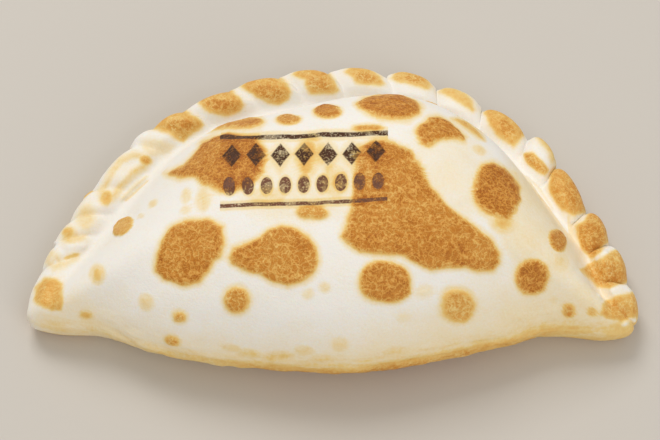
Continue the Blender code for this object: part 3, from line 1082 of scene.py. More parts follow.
TOASTED: dict[Skill, tuple[Spot | Patch, ...]] = {
    Skill.BLISTER: (
        Spot((385.5, 282.5), (52, 42), 0.82, 5, square=2.4),
        Spot((458, 306), (34, 36), 0.58, square=2.2, soft=1.7),
        Spot((531.5, 277), (32, 38), 0.92, 8, square=2.2, soft=1.5),
        Spot((557.5, 241), (17, 24), 0.80, -18, over=True),
        Spot((327.8, 112), (28, 14), 0.86),
        Spot((288.8, 119.8), (25, 11), 0.74),
        Spot((236.8, 300), (27, 28), 0.68),
        Spot((179.5, 316.7), (14, 13), 0.66),
        Spot((172.5, 340.5), (16, 10), 0.58, 12),
        Spot((123.7, 227), (23, 14), 0.56, -42, over=True),
        Spot((568.7, 310.3), (15, 17), 0.62, 15),
        Spot((312, 213), (34, 15), 0.60, 4),
        Patch(((386, 139), (409, 149), (421, 166), (431, 188), (449, 205), (470, 223), (492, 238), (501, 255),
               (500, 264), (493, 271), (480, 273), (465, 269), (430, 271), (403, 257), (359, 253), (341, 237),
               (347, 222), (352, 200), (354, 170), (358, 148), (370, 141)), 0.80),
        Patch(((165, 174), (183, 165), (197, 150), (201, 142), (214, 135), (230, 132), (256, 137), (266, 150),
               (264, 172), (254, 184), (237, 192), (219, 192), (203, 185), (195, 178), (178, 178)), 0.86),
        Patch(((172, 226), (187, 219), (209, 219), (223, 226), (225, 244), (221, 257), (214, 261), (209, 272),
               (200, 283), (183, 287), (163, 280), (155, 271), (157, 257), (160, 241), (167, 231)), 0.82),
        Patch(((229, 258), (234, 248), (247, 242), (260, 237), (269, 229), (281, 225), (293, 227), (308, 237),
               (317, 248), (319, 261), (316, 272), (304, 282), (288, 286), (273, 282), (260, 274), (244, 271),
               (232, 265)), 0.78),
        Patch(((356, 104), (363, 98), (377, 94), (390, 92), (404, 95), (416, 101), (422, 109), (419, 115),
               (409, 120), (394, 120), (380, 119), (367, 114), (359, 108)), 0.88),
        Patch(((416, 132), (420, 125), (428, 118), (438, 117), (450, 122), (459, 129), (466, 137), (464, 143),
               (452, 140), (441, 141), (435, 145), (428, 148), (420, 144)), 0.86),
        Patch(((482, 164), (493, 163), (505, 168), (514, 175), (521, 187), (521, 199), (515, 213), (506, 223),
               (495, 218), (483, 211), (475, 202), (472, 193), (476, 180), (478, 170)), 0.90, soft=1.5),
        Patch(((207, 132), (211, 126), (220, 122), (235, 119), (250, 117), (261, 118), (264, 122), (259, 127),
               (242, 130), (227, 129), (218, 130), (212, 132)), 0.82),
    ),
    Skill.STAIN: (
        Spot((503, 222), (20, 18), 0.42, 30, soft=1.8),
        Spot((97.8, 275.6), (12, 17), 0.36),
        Spot((86, 314.6), (12, 9), 0.44, 10),
        Spot((146.5, 302), (12, 13), 0.24, -30),
        Spot((592.5, 311.4), (12, 12), 0.50),
        Spot((367.7, 127.5), (28, 7), 0.60),
        Spot((308, 158), (20, 40), 0.38, 10, soft=2.4),
        Spot((336, 182), (22, 26), 0.32, soft=2.4),
        Spot((268, 196), (30, 14), 0.24, soft=2.2),
        Spot((186, 196), (7, 14), 0.24),
        Spot((203.5, 199), (9, 20), 0.26, soft=1.8),
        Spot((186, 210), (6, 6), 0.22),
        Spot((152.6, 203.6), (6, 5), 0.24),
        Spot((141, 216), (6, 5), 0.16),
        Spot((308, 294.5), (6, 5), 0.20),
        Spot((325, 287.5), (6, 6), 0.24),
        Spot((339.6, 345), (12, 10), 0.26, soft=1.6),
        Spot((479.6, 150), (9, 7), 0.24, 30),
        Spot((554, 300), (6, 6), 0.24),
        Spot((531.4, 242), (9, 9), 0.22, soft=1.6),
        Spot((560.4, 262), (13, 15), 0.24, soft=1.8),
        Spot((425, 292), (12, 9), 0.18, soft=1.8),
        Spot((231, 348), (16, 5), 0.27, 8, soft=1.4),
        Spot((249, 353.5), (22, 8), 0.29, 4, soft=1.4),
        Spot((279, 357), (30, 10), 0.30, -4, soft=1.6),
        Spot((304, 351), (17, 7), 0.26, 6, soft=1.4),
        Spot((322, 359), (24, 8), 0.28, soft=1.6),
        Spot((395, 352), (26, 8), 0.26, -10, soft=1.8),
        Spot((404, 318), (9, 6), 0.14, soft=1.6),
        Spot((535.5, 182.5), (13, 6), 0.46, 42),
        Spot((543, 196), (10, 6), 0.34, 60),
        Spot((540, 225), (76, 120), 0.15, -25, soft=6.0),
        Spot((575, 300), (76, 60), 0.13, soft=6.0),
        Spot((446, 176), (70, 60), 0.11, 40, soft=7.0),
        Spot((300, 185), (110, 60), 0.10, soft=5.0),
        Patch(((451, 118), (458, 117), (467, 121), (477, 129), (484, 137), (485, 141), (479, 139), (470, 132),
               (460, 125), (453, 121)), 0.50, soft=0.8),
    ),
    Skill.CREST: (
        Patch(((33, 300), (34, 287), (44, 276), (57, 279), (63, 285), (64, 303), (62, 312), (51, 311),
               (40, 305)), 0.52),
        Patch(((43, 262), (50, 246), (57, 252), (64, 258), (80, 253), (80, 260), (66, 269),
               (52, 273)), 0.22, soft=1.6, hollow=1.0),
        Patch(((60, 240), (66, 222), (76, 226), (80, 234), (91, 230), (87, 241), (74, 246),
               (64, 246)), 0.25, soft=1.6),
        Patch(((72, 222), (80, 206), (90, 202), (97, 210), (96, 223), (90, 232), (82, 233),
               (76, 228)), 0.23, soft=2.2),
        Patch(((96, 190), (108, 170), (118, 156), (131, 149), (147, 152), (153, 161), (148, 170), (136, 176),
               (126, 188), (115, 203), (106, 208), (98, 200)), 0.25, soft=1.6, hollow=1.1),
        Spot((106, 198), (15, 18), 0.44, 20, soft=1.4),
        Spot((146, 160), (15, 11), 0.54, 20),
        Spot((68, 232), (14, 12), 0.44, -30, soft=1.3),
        Spot((71, 256.5), (20, 7), 0.36, -18, soft=1.0),
        Patch(((141, 141), (152, 138), (166, 140), (176, 146), (170, 154), (158, 157), (149, 160),
               (142, 152)), 0.17, soft=1.4),
        Patch(((149, 130), (151, 119), (165, 111), (184, 109), (198, 117), (205, 125), (201, 131), (192, 135),
               (184, 143), (178, 140), (169, 136), (158, 132)), 0.52),
        Spot((180, 125), (34, 17), 0.70, square=2.2, soft=1.8),
        Patch(((195, 101), (204, 92), (218, 88), (231, 88), (241, 97), (245, 105), (240, 111), (229, 116),
               (219, 116), (210, 114), (204, 110), (199, 105)), 0.54),
        Spot((221, 104), (34, 17), 0.74, 4, square=2.3, soft=1.8),
        Patch(((240, 86), (246, 77), (261, 74), (276, 75), (288, 83), (292, 92), (289, 100), (279, 105),
               (268, 105), (261, 101), (258, 96), (249, 93), (242, 89)), 0.54),
        Spot((269, 92), (34, 19), 0.72, 8, square=2.3, soft=1.8),
        Patch(((292, 75), (300, 67), (313, 65), (325, 67), (333, 76), (338, 86), (341, 91), (333, 95),
               (322, 96), (309, 94), (305, 88), (305, 81), (298, 79)), 0.54),
        Spot((319, 84), (30, 18), 0.68, 12, square=2.3, soft=1.8),
        Patch(((341, 72), (350, 64), (364, 64), (373, 69), (382, 77), (387, 84), (380, 87), (367, 86),
               (356, 83), (352, 78), (345, 75)), 0.50),
        Spot((366, 77), (26, 13), 0.62, 10, square=2.2, soft=1.6),
        Patch(((389, 79), (396, 70), (409, 68), (422, 69), (430, 77), (434, 87), (428, 91), (418, 88),
               (406, 84), (397, 83)), 0.50),
        Spot((415, 79), (26, 12), 0.64, 12, square=2.2, soft=1.6),
        Patch(((437, 92), (443, 85), (456, 86), (467, 92), (474, 102), (477, 111), (472, 114), (464, 107),
               (454, 101), (445, 97)), 0.42),
        Patch(((482, 112), (488, 103), (502, 106), (514, 115), (524, 125), (530, 134), (520, 141), (514, 149),
               (507, 144), (495, 134), (488, 125), (485, 118)), 0.50),
        Spot((506, 128), (26, 17), 0.62, 44, square=2.2, soft=1.6),
        Patch(((534, 135), (545, 136), (556, 148), (559, 163), (551, 165), (547, 153),
               (540, 143)), 0.40, soft=1.5),
        Patch(((524, 154), (533, 153), (543, 161), (549, 170), (545, 176), (536, 173),
               (527, 164)), 0.62, soft=1.0),
        Patch(((551, 171), (558, 160), (571, 163), (583, 174), (592, 191), (592, 205), (583, 215), (573, 217),
               (562, 210), (553, 200), (548, 188), (549, 178)), 0.56),
        Spot((574, 194), (34, 20), 0.66, 62, square=2.4, soft=1.8),
        Patch(((590, 208), (603, 205), (612, 221), (614, 238), (604, 246), (599, 254), (590, 260), (581, 249),
               (577, 235), (575, 226), (584, 220)), 0.62),
        Spot((594, 233), (28, 18), 0.72, 70, square=2.4, soft=1.6),
        Patch(((588, 263), (604, 257), (617, 248), (629, 255), (634, 271), (629, 283), (611, 290), (596, 289),
               (585, 277), (580, 269)), 0.56),
        Spot((610, 271), (28, 24), 0.66, square=2.5, soft=1.8),
        Patch(((601, 303), (616, 295), (633, 291), (642, 305), (640, 318), (622, 323), (607, 321),
               (598, 315)), 0.54),
        Patch(((597, 321), (645, 308), (645, 340), (616, 352), (598, 348)), 0.34, soft=3.0),
        Spot((590, 300), (16, 12), 0.22, -12, soft=3.0),
        Spot((575, 190), (20, 40), 0.34, -28, soft=3.0),
    ),
}

LINES = (
    Line(((360, 103), (373, 97.5), (390, 95), (404, 97.5)), 0.45, 0.15, 1.05),
    Line(((366, 105), (386, 99.5), (404, 104), (414, 112)), 0.35, 0.20, 1.00),
    Line(((318, 108), (328, 106), (338, 108)), 0.40, 0.15, 1.05),
    Line(((430, 119), (443, 121.5), (456, 130), (463, 139)), 0.40, 0.15, 1.05),
    Line(((116, 231), (119, 224), (127, 219.5)), 0.35, 0.15, 0.75),
    Line(((122, 199), (133, 188), (146, 178)), 0.60, 0.45, 0.16),
    Line(((126, 200), (138, 189), (147, 181)), 0.40, -0.25, 0.20),
    Line(((527, 178), (540, 191), (552, 209)), 0.55, 0.45, 0.10),
    # These lips carry no tone and are whitened: partly less browned or torn dough, partly a painted highlight
    # along their lit fold edges
    Line(((572, 222), (582, 217), (590, 210)), 0.55, 0.40, 0.0),
    Line(((597, 259), (606, 253), (614, 244)), 0.60, 0.40, 0.0),
    Line(((598, 296), (612, 291), (625, 286)), 0.60, 0.35, 0.0),
    Line(((56, 243), (68, 247), (84, 247)), 0.50, 0.50, 0.0),
    Line(((624, 324), (630, 319), (634, 320)), 0.55, 0.50, 0.0),
)


@dataclass(frozen=True)
class Horizon:
    """Where toasted places end on the belly's far slope, by how far the skin is turned to the camera."""

    uneven_below: float = 0.05
    uneven: Speckle = Speckle(7 * MM, 23.0, 0.14)
    end: float = 0.02
    fade: float = 20 * MM

    def depth(self, skin: "Skin") -> np.ndarray:
        """How deep each point lies on the near side, in metres, below 0 beyond."""
        beyond = skin.facing < self.uneven_below
        return (skin.facing + beyond * self.uneven.at(skin.points) - self.end) * self.fade


@dataclass(frozen=True)
class Band:
    """A band of tan along the fold in front."""

    fade: tuple[float, float]  # heights between which it fades out upwards
    sway: float  # how far the streaks move those heights
    tone: float
    patchiness: float  # further tone in its patches


@dataclass(frozen=True)
class FoldTan:
    """The fold in front: creamier low down all along, more so and higher up on the right, and tan low down,
    most of all in its middle.
    """

    least: float = 0.30  # share of the tan far from its middle
    middle: float = 12 * MM
    spread: float = 40 * MM
    streaks: Speckle = Speckle(4 * MM, 17.0, stretch=(0.35, 1.0, 1.6))
    fine: Speckle = Speckle(1.4 * MM, 19.0, stretch=(0.4, 1.0, 2.0))
    fine_share: float = 0.6
    patches: tuple[float, float] = (-0.5, 0.7)
    right_from: float = 30 * MM  # either side of the middle, the ends of the step to richer cream
    cream: tuple[float, float] = (0.12, 0.07)  # everywhere, and further on the right
    cream_heights: tuple[float, float] = (9 * MM, 22 * MM)
    cream_higher: float = 6 * MM  # on the right
    bands: tuple[Band, ...] = (
        Band((9.0 * MM, 19 * MM), 3.0 * MM, 0.20, 0.22),
        Band((8.0 * MM, 13.5 * MM), 2.0 * MM, 0.48, 0.26),
    )
    feet: Band = Band((1.5 * MM, 4.0 * MM), 1.0 * MM, 0.36, 0.0)  # of the tips

    def tone(self, points: np.ndarray, fold: np.ndarray, on_tip: np.ndarray) -> np.ndarray:
        """The fold's tone.

        Args:
            points: Places, one row each.
            fold: 1 on the fold and 0 on the pleated rim.
            on_tip: Which points lie on the tips.

        Returns:
            The tone of each place.
        """
        height = points[:, 2]
        streaks, fine = self.streaks.at(points), self.fine.at(points)
        patchy = smoothstep(streaks + self.fine_share * fine, *self.patches)
        right = smoothstep(points[:, 0], -self.right_from, self.right_from)
        bottom, top = self.cream_heights
        creamy = self.cream[0] + self.cream[1] * right
        tone = creamy * (1 - smoothstep(height, bottom, top + self.cream_higher * right))
        middle = np.exp(-(((points[:, 0] - self.middle) / self.spread) ** 2))
        middle = self.least + (1 - self.least) * middle
        for band in self.bands:
            low = 1 - smoothstep(height + band.sway * streaks, *band.fade)
            tone = np.maximum(tone, middle * low * (band.tone + band.patchiness * patchy))
        low = 1 - smoothstep(height + self.feet.sway * fine, *self.feet.fade)
        return np.maximum(fold * tone, on_tip * low * self.feet.tone)


@dataclass(frozen=True)
class HiddenSides:
    """How the sides that the camera doesn't see have baked."""

    turned_away: tuple[float, float] = (0.05, 0.35)
    crest_along: tuple[float, float] = (0.25, 0.6)
    crest_across: tuple[float, float] = (0.45, 0.7)
    crest_from: float = 2 * MM
    crest_tone: float = 0.75
    crest_mottle: Speckle = Speckle(2.2 * MM, 5.0, 0.5)
    under_heights: tuple[float, float] = (0.2 * MM, 1.0 * MM)
    under_tone: tuple[float, float] = (0.44, 0.38)  # everywhere, and further in its patches
    under_mottle: tuple[Speckle, ...] = (Speckle(9 * MM, 11.0), Speckle(3 * MM, 13.0, 0.5))
    under_patches: tuple[float, float] = (-0.25, 0.45)
    spots: int = 40  # tried on the back slope
    seed: int = 7
    spot_facing: float = -0.18
    spot_ends: float = -0.08
    spot_from: float = 10 * MM
    spot_radii: tuple[float, float] = (1.2, 4.0)  # millimetres
    spot_gap: float = 2.5 * MM
    spot_tones: tuple[float, float] = (0.45, 0.85)
    spot_soft: float = 1.0 * MM
    spot_margin: float = 3 * MM


@dataclass
class Baking:
    """Blisters, stains and browned crests, laid on the dough from the photograph and finished all round."""

    skin: Skin
    ragged: tuple[Speckle, ...] = (Speckle(4.0 * MM, 3.0, 0.40 * MM), Speckle(1.7 * MM, 7.0, 0.16 * MM))
    core_edge: tuple[float, float] = (-0.45, 0.80)  # of a toasted place, in widths of its fading edge
    halo_edge: float = 0.1
    halo_width: float = 1.0 * MM
    halo_tone: float = 0.22
    crest_halo_tone: float = 0.06
    halo_share: float = 0.8  # of the place's own tone, at most
    hollow_white: float = 0.85
    hollow_edge: float = 1.2 * MM
    bump_edge: tuple[float, float] = (-0.2 * MM, 1.1 * MM)
    rim_from: float = 0.02  # shares of the way across the border
    inner_side_to: float = 0.4
    belly_to: float = 0.01
    tips_from: float = 51 * MM
    least_facing_of_crests: float = -0.35
    seen_flat: tuple[float, float] = (-0.05, 0.10)  # facing past which an oval is laid as the camera sees it
    spot_reach: tuple[float, float] = (1.5, 4.0)  # in its size, and in widths of its fading edge
    patch_reach: float = 40 * MM
    longest_step: float = 12 * MM  # between two points of a line that lie on the same swell of dough
    # how far a lip without tone is whitened: less browned dough and a painted highlight
    lip_pale_and_highlight: float = 0.9
    flaky_heights: tuple[float, float, float, float] = (1 * MM, 4 * MM, 9 * MM, 17 * MM)
    flaky_to: tuple[float, float] = (44 * MM, 54 * MM)
    fold_tan: FoldTan = FoldTan()
    hidden: HiddenSides = HiddenSides()

    def __post_init__(self) -> None:
        """Starts with white, smooth dough."""
        skin = self.skin
        points = skin.points
        self.tone = np.zeros(len(points))
        self.lift = np.zeros(len(points))
        self.rough = sum(speckle.at(points) for speckle in self.ragged)
        self.across, self.pleated = read_value(skin.piece, "across"), read_value(skin.piece, "pleated")
        self.on_rim = self.across * self.pleated > self.rim_from
        self.inner_side = self.across < self.inner_side_to
        self.on_tip = np.abs(points[:, 0]) > self.tips_from
        self.turned_to_camera = Horizon().depth(skin)

    def darken(self, tone: np.ndarray) -> None:
        """Bakes each point at least so dark."""
        self.tone = np.maximum(self.tone, tone)

    def lay(self, inside: np.ndarray, tone: float, soft: float, kind: Skill, where: np.ndarray,
            hollow: float = 0.0) -> None:
        """Toasts a place.

        Args:
            inside: How deep each point lies inside it, in metres, below 0 outside.
            tone: How dark it is.
            soft: Width of its fading edge in metres.
            kind: How it stands on the skin.
            where: Which points it may reach.
            hollow: Depth past which it is white again, 0 for a full place.
        """
        inside = inside + self.rough * min(1.0, soft / MM)
        core = smoothstep(inside, self.core_edge[0] * soft, self.core_edge[1] * soft)
        if hollow:
            core = core * (1 - self.hollow_white * smoothstep(inside, hollow, hollow + self.hollow_edge))
        halo = smoothstep(inside, -self.halo_width * soft / MM, self.halo_edge * soft) * (not hollow)
        ring = self.crest_halo_tone if kind is Skill.CREST else self.halo_tone
        baked = np.maximum(core * tone, halo * min(ring, tone * self.halo_share))
        self.tone = np.where(where, np.maximum(self.tone, baked), self.tone)
        bump = kind.value * smoothstep(inside, *self.bump_edge)
        self.lift = np.where(where, np.maximum(self.lift, bump), self.lift)

    def spot(self, spot: Spot, kind: Skill) -> None:
        """Toasts an oval place.

        Args:
            spot: The place.
            kind: How it stands on the skin.
        """
        met = self.skin.touch(spot.at)
        if met is None:
            log.info("spot at %s misses the dough", spot.at)
            return
        place, normal = met
        turn = math.radians(spot.turn)
        axis = np.array([[math.cos(turn), math.sin(turn)], [-math.sin(turn), math.cos(turn)]])
        at, half = np.array(spot.at), np.array(spot.size) / 2
        ends = [self.skin.on_plane(tuple(at + axis[i] * half[i]), place, normal) for i in (0, 1)]
        arms = [np.array(end - place) for end in ends]
        seen = (self.skin.pixels - at) @ axis.T / half
        away = self.skin.points - np.array(place)
        solved = away @ np.linalg.inv(np.array([*arms, np.array(normal)]).T).T
        share = smoothstep(self.skin.facing, *self.seen_flat)[:, None]
        local = seen * share + solved[:, :2] * (1 - share)
        radius = np.maximum((np.abs(local) ** spot.square).sum(1) ** (1 / spot.square), 1e-4)
        reach = np.linalg.norm(np.abs(local[:, :1] * arms[0] + local[:, 1:] * arms[1]), axis=1) / radius
        size, edge = self.spot_reach
        largest = max(np.linalg.norm(arm) for arm in arms)
        near = np.linalg.norm(away, axis=1) < size * largest + edge * spot.soft * MM
        belly = self.inner_side if spot.over else ~self.on_rim
        near &= (self.on_rim if kind is Skill.CREST else belly) | self.on_tip
        self.lay((1 - radius) * reach, spot.tone, spot.soft * MM, kind, near)

    def patch(self, patch: Patch, kind: Skill) -> None:
        """Toasts a large place with an outline of its own.

        Args:
            patch: The place.
            kind: How it stands on the skin.
        """
        corners = np.array(patch.corners, float)
        met = self.skin.touch(tuple(corners.mean(0)))
        if met is None:
            log.info("patch at %s misses the dough", patch.corners[0])
            return
        seen = self.skin.pixels
        nearest = np.full(len(seen), np.inf)
        within = np.zeros(len(seen), bool)
        for first, second in zip(corners, np.roll(corners, -1, 0)):
            side = second - first
            share = np.clip(((seen - first) @ side) / (side @ side), 0, 1)
            nearest = np.minimum(nearest, np.linalg.norm(seen - first - share[:, None] * side, axis=1))
            crosses = (first[1] > seen[:, 1]) != (second[1] > seen[:, 1])
            rise = np.where(side[1] == 0, 1.0, side[1])
            within ^= crosses & (seen[:, 0] < first[0] + (seen[:, 1] - first[1]) / rise * side[0])
        inside = np.where(within, nearest, -nearest) * self.skin.view.width_seen / self.skin.view.width_pixels
        near = np.linalg.norm(self.skin.points - np.array(met[0]), axis=1) < self.patch_reach
        if kind is Skill.CREST:
            near &= (self.on_rim | self.on_tip) & (self.skin.facing > self.least_facing_of_crests)
        else:
            near &= ~self.on_rim
            inside = np.minimum(inside, self.turned_to_camera)
        self.lay(inside, patch.tone, patch.soft * MM, kind, near, patch.hollow * MM)

    def line(self, line: Line, shape: np.ndarray) -> None:
        """Lays a crease or a lip; a lip without a tone of its own is whitened, partly as less browned dough
        and partly as a painted highlight.

        Args:
            line: Its course.
            shape: How far each point stands out, which this adds to.
        """
        met = [self.skin.touch(pixel) for pixel in line.through]
        places = [np.array(m[0]) for m in met if m is not None]
        nearest = np.full(len(self.skin.points), np.inf)
        for first, second in zip(places, places[1:]):
            side = second - first
            if np.linalg.norm(side) > self.longest_step:
                continue
            share = np.clip(((self.skin.points - first) @ side) / max(side @ side, 1e-12), 0, 1)
            away = self.skin.points - first - share[:, None] * side
            nearest = np.minimum(nearest, np.linalg.norm(away, axis=1))
        bell = np.exp(-((nearest / (line.width * MM)) ** 2))
        shape += line.height * MM * bell
        if line.tone:
            self.darken(line.tone * bell)
        # a lip without tone is whitened: less browned dough plus a painted highlight on its lit edge
        elif line.height > 0:
            self.tone = self.tone * (1 - self.lip_pale_and_highlight * bell)

    def rim_outside(self) -> None:
        """Browns the crests of the pleats on the side that the camera doesn't see."""
        sides, points = self.hidden, self.skin.points
        place, style = read_value(self.skin.piece, "place"), read_value(self.skin.piece, "style")
        away = smoothstep(-self.skin.facing, *sides.turned_away)
        crest = smoothstep(1 - np.abs(2 * place - 1), *sides.crest_along)
        crest = crest * smoothstep(self.across, *sides.crest_across)
        mottle = sides.crest_tone + sides.crest_mottle.at(points)
        self.darken(away * crest * self.pleated * style * mottle * (points[:, 2] > sides.crest_from))

    def underside(self) -> None:
        """Browns the underside in patches."""
        sides, points = self.hidden, self.skin.points
        low, high = sides.under_heights
        under = smoothstep(-points[:, 2], -high, -low)
        mottle = sum(speckle.at(points) for speckle in sides.under_mottle)
        tone, further = sides.under_tone
        self.darken(under * (tone + further * smoothstep(mottle, *sides.under_patches)))

    def back_slope(self) -> None:
        """Scatters round blisters over the belly's back slope, none too close to another."""
        sides, points, facing = self.hidden, self.skin.points, self.skin.facing
        draw = np.random.default_rng(sides.seed)
        slope = (self.across < self.belly_to) & (facing < sides.spot_facing)
        laid = []
        for index in draw.choice(np.flatnonzero(slope & (points[:, 2] > sides.spot_from)), sides.spots):
            middle, size = points[index], draw.uniform(*sides.spot_radii) * MM
            if any(np.linalg.norm(middle - other) < size + room for other, room in laid):
                continue
            laid.append((middle, size + sides.spot_gap))
            away = np.linalg.norm(points - middle, axis=1)
            near = (away < size + sides.spot_margin) & (facing < sides.spot_ends) & ~self.on_rim
            self.lay(size - away, draw.uniform(*sides.spot_tones), sides.spot_soft, Skill.BLISTER, near)

    def finish(self) -> None:
        """Lays everything and leaves it on the piece's points."""
        for kind, places in TOASTED.items():
            for place in places:
                (self.patch if isinstance(place, Patch) else self.spot)(place, kind)
        self.rim_outside()
        self.underside()
        self.back_slope()
        points = self.skin.points
        self.darken(self.fold_tan.tone(points, 1 - self.pleated, self.on_tip))
        shape = np.zeros(len(points))
        for line in LINES:
            self.line(line, shape)
        foot, low, high, top = self.flaky_heights
        flaky = smoothstep(points[:, 2], foot, low) * (1 - smoothstep(points[:, 2], high, top))
        flaky = flaky * (1 - smoothstep(np.abs(points[:, 0]), *self.flaky_to)) * (1 - self.pleated)
        for name, value in (("toast", self.tone), ("blister", self.lift), ("lip", shape), ("flaky", flaky)):
            write_value(self.skin.piece, name, value)


@dataclass
class SkinRelief:
    """The fine relief that baking leaves, made with Geometry Nodes."""

    blister_height: float = 0.42 * MM
    wrinkle_depth: float = 0.22 * MM
    wrinkle_grain: float = 1.5 * MM
    flake_depth: float = 0.75 * MM
    flake_grain: float = 3.4 * MM
    flake_stretch: tuple[float, float, float] = (0.6, 1.0, 1.8)
    swell_depth: float = 0.14 * MM
    swell_grain: float = 5.5 * MM

    def apply(self, piece: bpy.types.Object, finish: bpy.types.Material) -> None:
        """Raises blisters, wrinkles, lips and flakes.

        Args:
            piece: The pleated dough with its baking laid on.
            finish: Material of the result.
        """
        form = FormTree("baked_skin", {
            "Blister height": self.blister_height, "Wrinkle depth": self.wrinkle_depth,
            "Wrinkle grain": self.wrinkle_grain, "Flake depth": self.flake_depth,
            "Flake grain": self.flake_grain, "Swell depth": self.swell_depth, "Swell grain": self.swell_grain,
        }, finish)

        def uneven(name: str, seed: float, detail: float, *stretch: float) -> Wire:
            """Lumps with a named grain and depth, up and down from nothing."""
            lumps = form.noise(stretch or (1.0, 1.0, 1.0), form.size(name + " grain"), seed, detail) - 0.5
            return lumps * form.size(name + " depth") * 2.0

        blister = form.attribute("blister")
        height = (
            blister * form.size("Blister height")
            + blister * uneven("Wrinkle", 3.1, 2.0)
            + form.attribute("flaky") * uneven("Flake", 5.3, 3.0, *self.flake_stretch)
            + uneven("Swell", 8.7, 1.0)
            + form.attribute("lip")
        )
        normal = form.tree.nodes.new("GeometryNodeInputNormal")
        form.end(form.scaled(Wire(form.tree, normal.outputs[0]), height))
        form.apply(piece)
        points = read_points(piece)
        points[:, 2] = np.maximum(points[:, 2], 0.0)
        write_points(piece, points)


# --------------------------------------------------------------------------------- The mark on the belly


@dataclass(frozen=True)
class Rule:
    """A straight rule. Sizes in shares of the mark's height."""

    height: float
    thick: float
    halo: float


@dataclass(frozen=True)
class Row:
    """A row of lozenges or dots. Heights in shares of the mark's height."""

    count: float
    height: float
    across: float  # half width, in shares of its room
    tall: float  # half height
    power: float  # 1 for lozenges and 2 for dots


@dataclass(frozen=True)
class ScorchMark:
    """A plain scorched mark, two rules with a row of lozenges and a row of dots between them."""

    left_top: tuple[float, float] = (221, 139)
    right_top: tuple[float, float] = (388, 133)
    left_bottom: tuple[float, float] = (220, 206)
    rules: tuple[Rule, Rule] = (Rule(1.0, 0.045, 0.11), Rule(0.0, 0.035, 0.09))
    rows: tuple[Row, Row] = (Row(7, 0.72, 0.44, 0.19, 1.0), Row(9, 0.28, 0.33, 0.13, 2.0))
    rule_edge: float = 0.6
    row_edge: float = 0.82
    row_halo: tuple[float, float] = (0.9, 2.0)
    wobble: float = 0.06
    margin: float = 0.15
    uv_name: str = "scorch"
    least_facing: float = 0.2
    belly_to: float = 0.01

    def place(self, skin: Skin) -> None:
        """Lays the mark's own map on the belly and says which points it covers.

        Args:
            skin: The dough's surface.
        """
        along = np.subtract(self.right_top, self.left_top)
        upwards = np.subtract(self.left_top, self.left_bottom)
        where = (skin.pixels - np.array(self.left_bottom)) @ np.linalg.inv(np.array([along, upwards]))
        covered = ((where > -self.margin) & (where < 1 + self.margin)).all(1)
        covered &= (skin.facing > self.least_facing) & (read_value(skin.piece, "across") < self.belly_to)
        write_value(skin.piece, "marked", covered.astype(float))
        mesh = skin.piece.data
        corner = np.empty(len(mesh.loops), np.int32)
        mesh.loops.foreach_get("vertex_index", corner)
        layer = mesh.uv_layers.new(name=self.uv_name)
        layer.data.foreach_set("uv", where[corner].astype(np.float32).ravel())


# --------------------------------------------------------------------------------------------------- Finishes


class Lumps(Enum):
    """A noise of the crust: lumps to a metre, levels of finer lumps, and a fixed shift."""

    BROAD = (160, 2.0, 1.0)
    FINE = (900, 3.0, 2.0)
    CURL = (700, 2.0, 3.0)
    COIL = (1250, 1.0, 5.0)
    WEAVE = (2000, 1.0, 7.0)
    GRAIN = (3200, 2.0, 4.0)
    WOBBLE = (140, 1.0, 6.0)
    SPECK = (2400, 2.0, 8.0)
    BLOT = (420, 2.0, 9.0)


@dataclass(frozen=True)
class Colouring:
    """How far each noise changes the crust's tone. Pairs are on plain dough and further where it is baked."""

    broad: tuple[float, float] = (0.12, 0.26)
    grain: tuple[float, float] = (0.06, 0.14)
    fine: float = 0.22
    weave: float = 0.10
    thread: float = 0.30
    baked: float = 0.05
    beside_mark: float = 0.16


@dataclass(frozen=True)
class Bumps:
    """How far each noise bumps the crust. Shares of the distance."""

    distance: float = 0.25 * MM
    strength: float = 0.8
    grain: float = 0.20
    weave: float = 0.30
    fine: tuple[float, float] = (0.20, 0.9)  # on plain dough, and further where it is baked
    thread: float = 0.35
    mark: float = 0.4


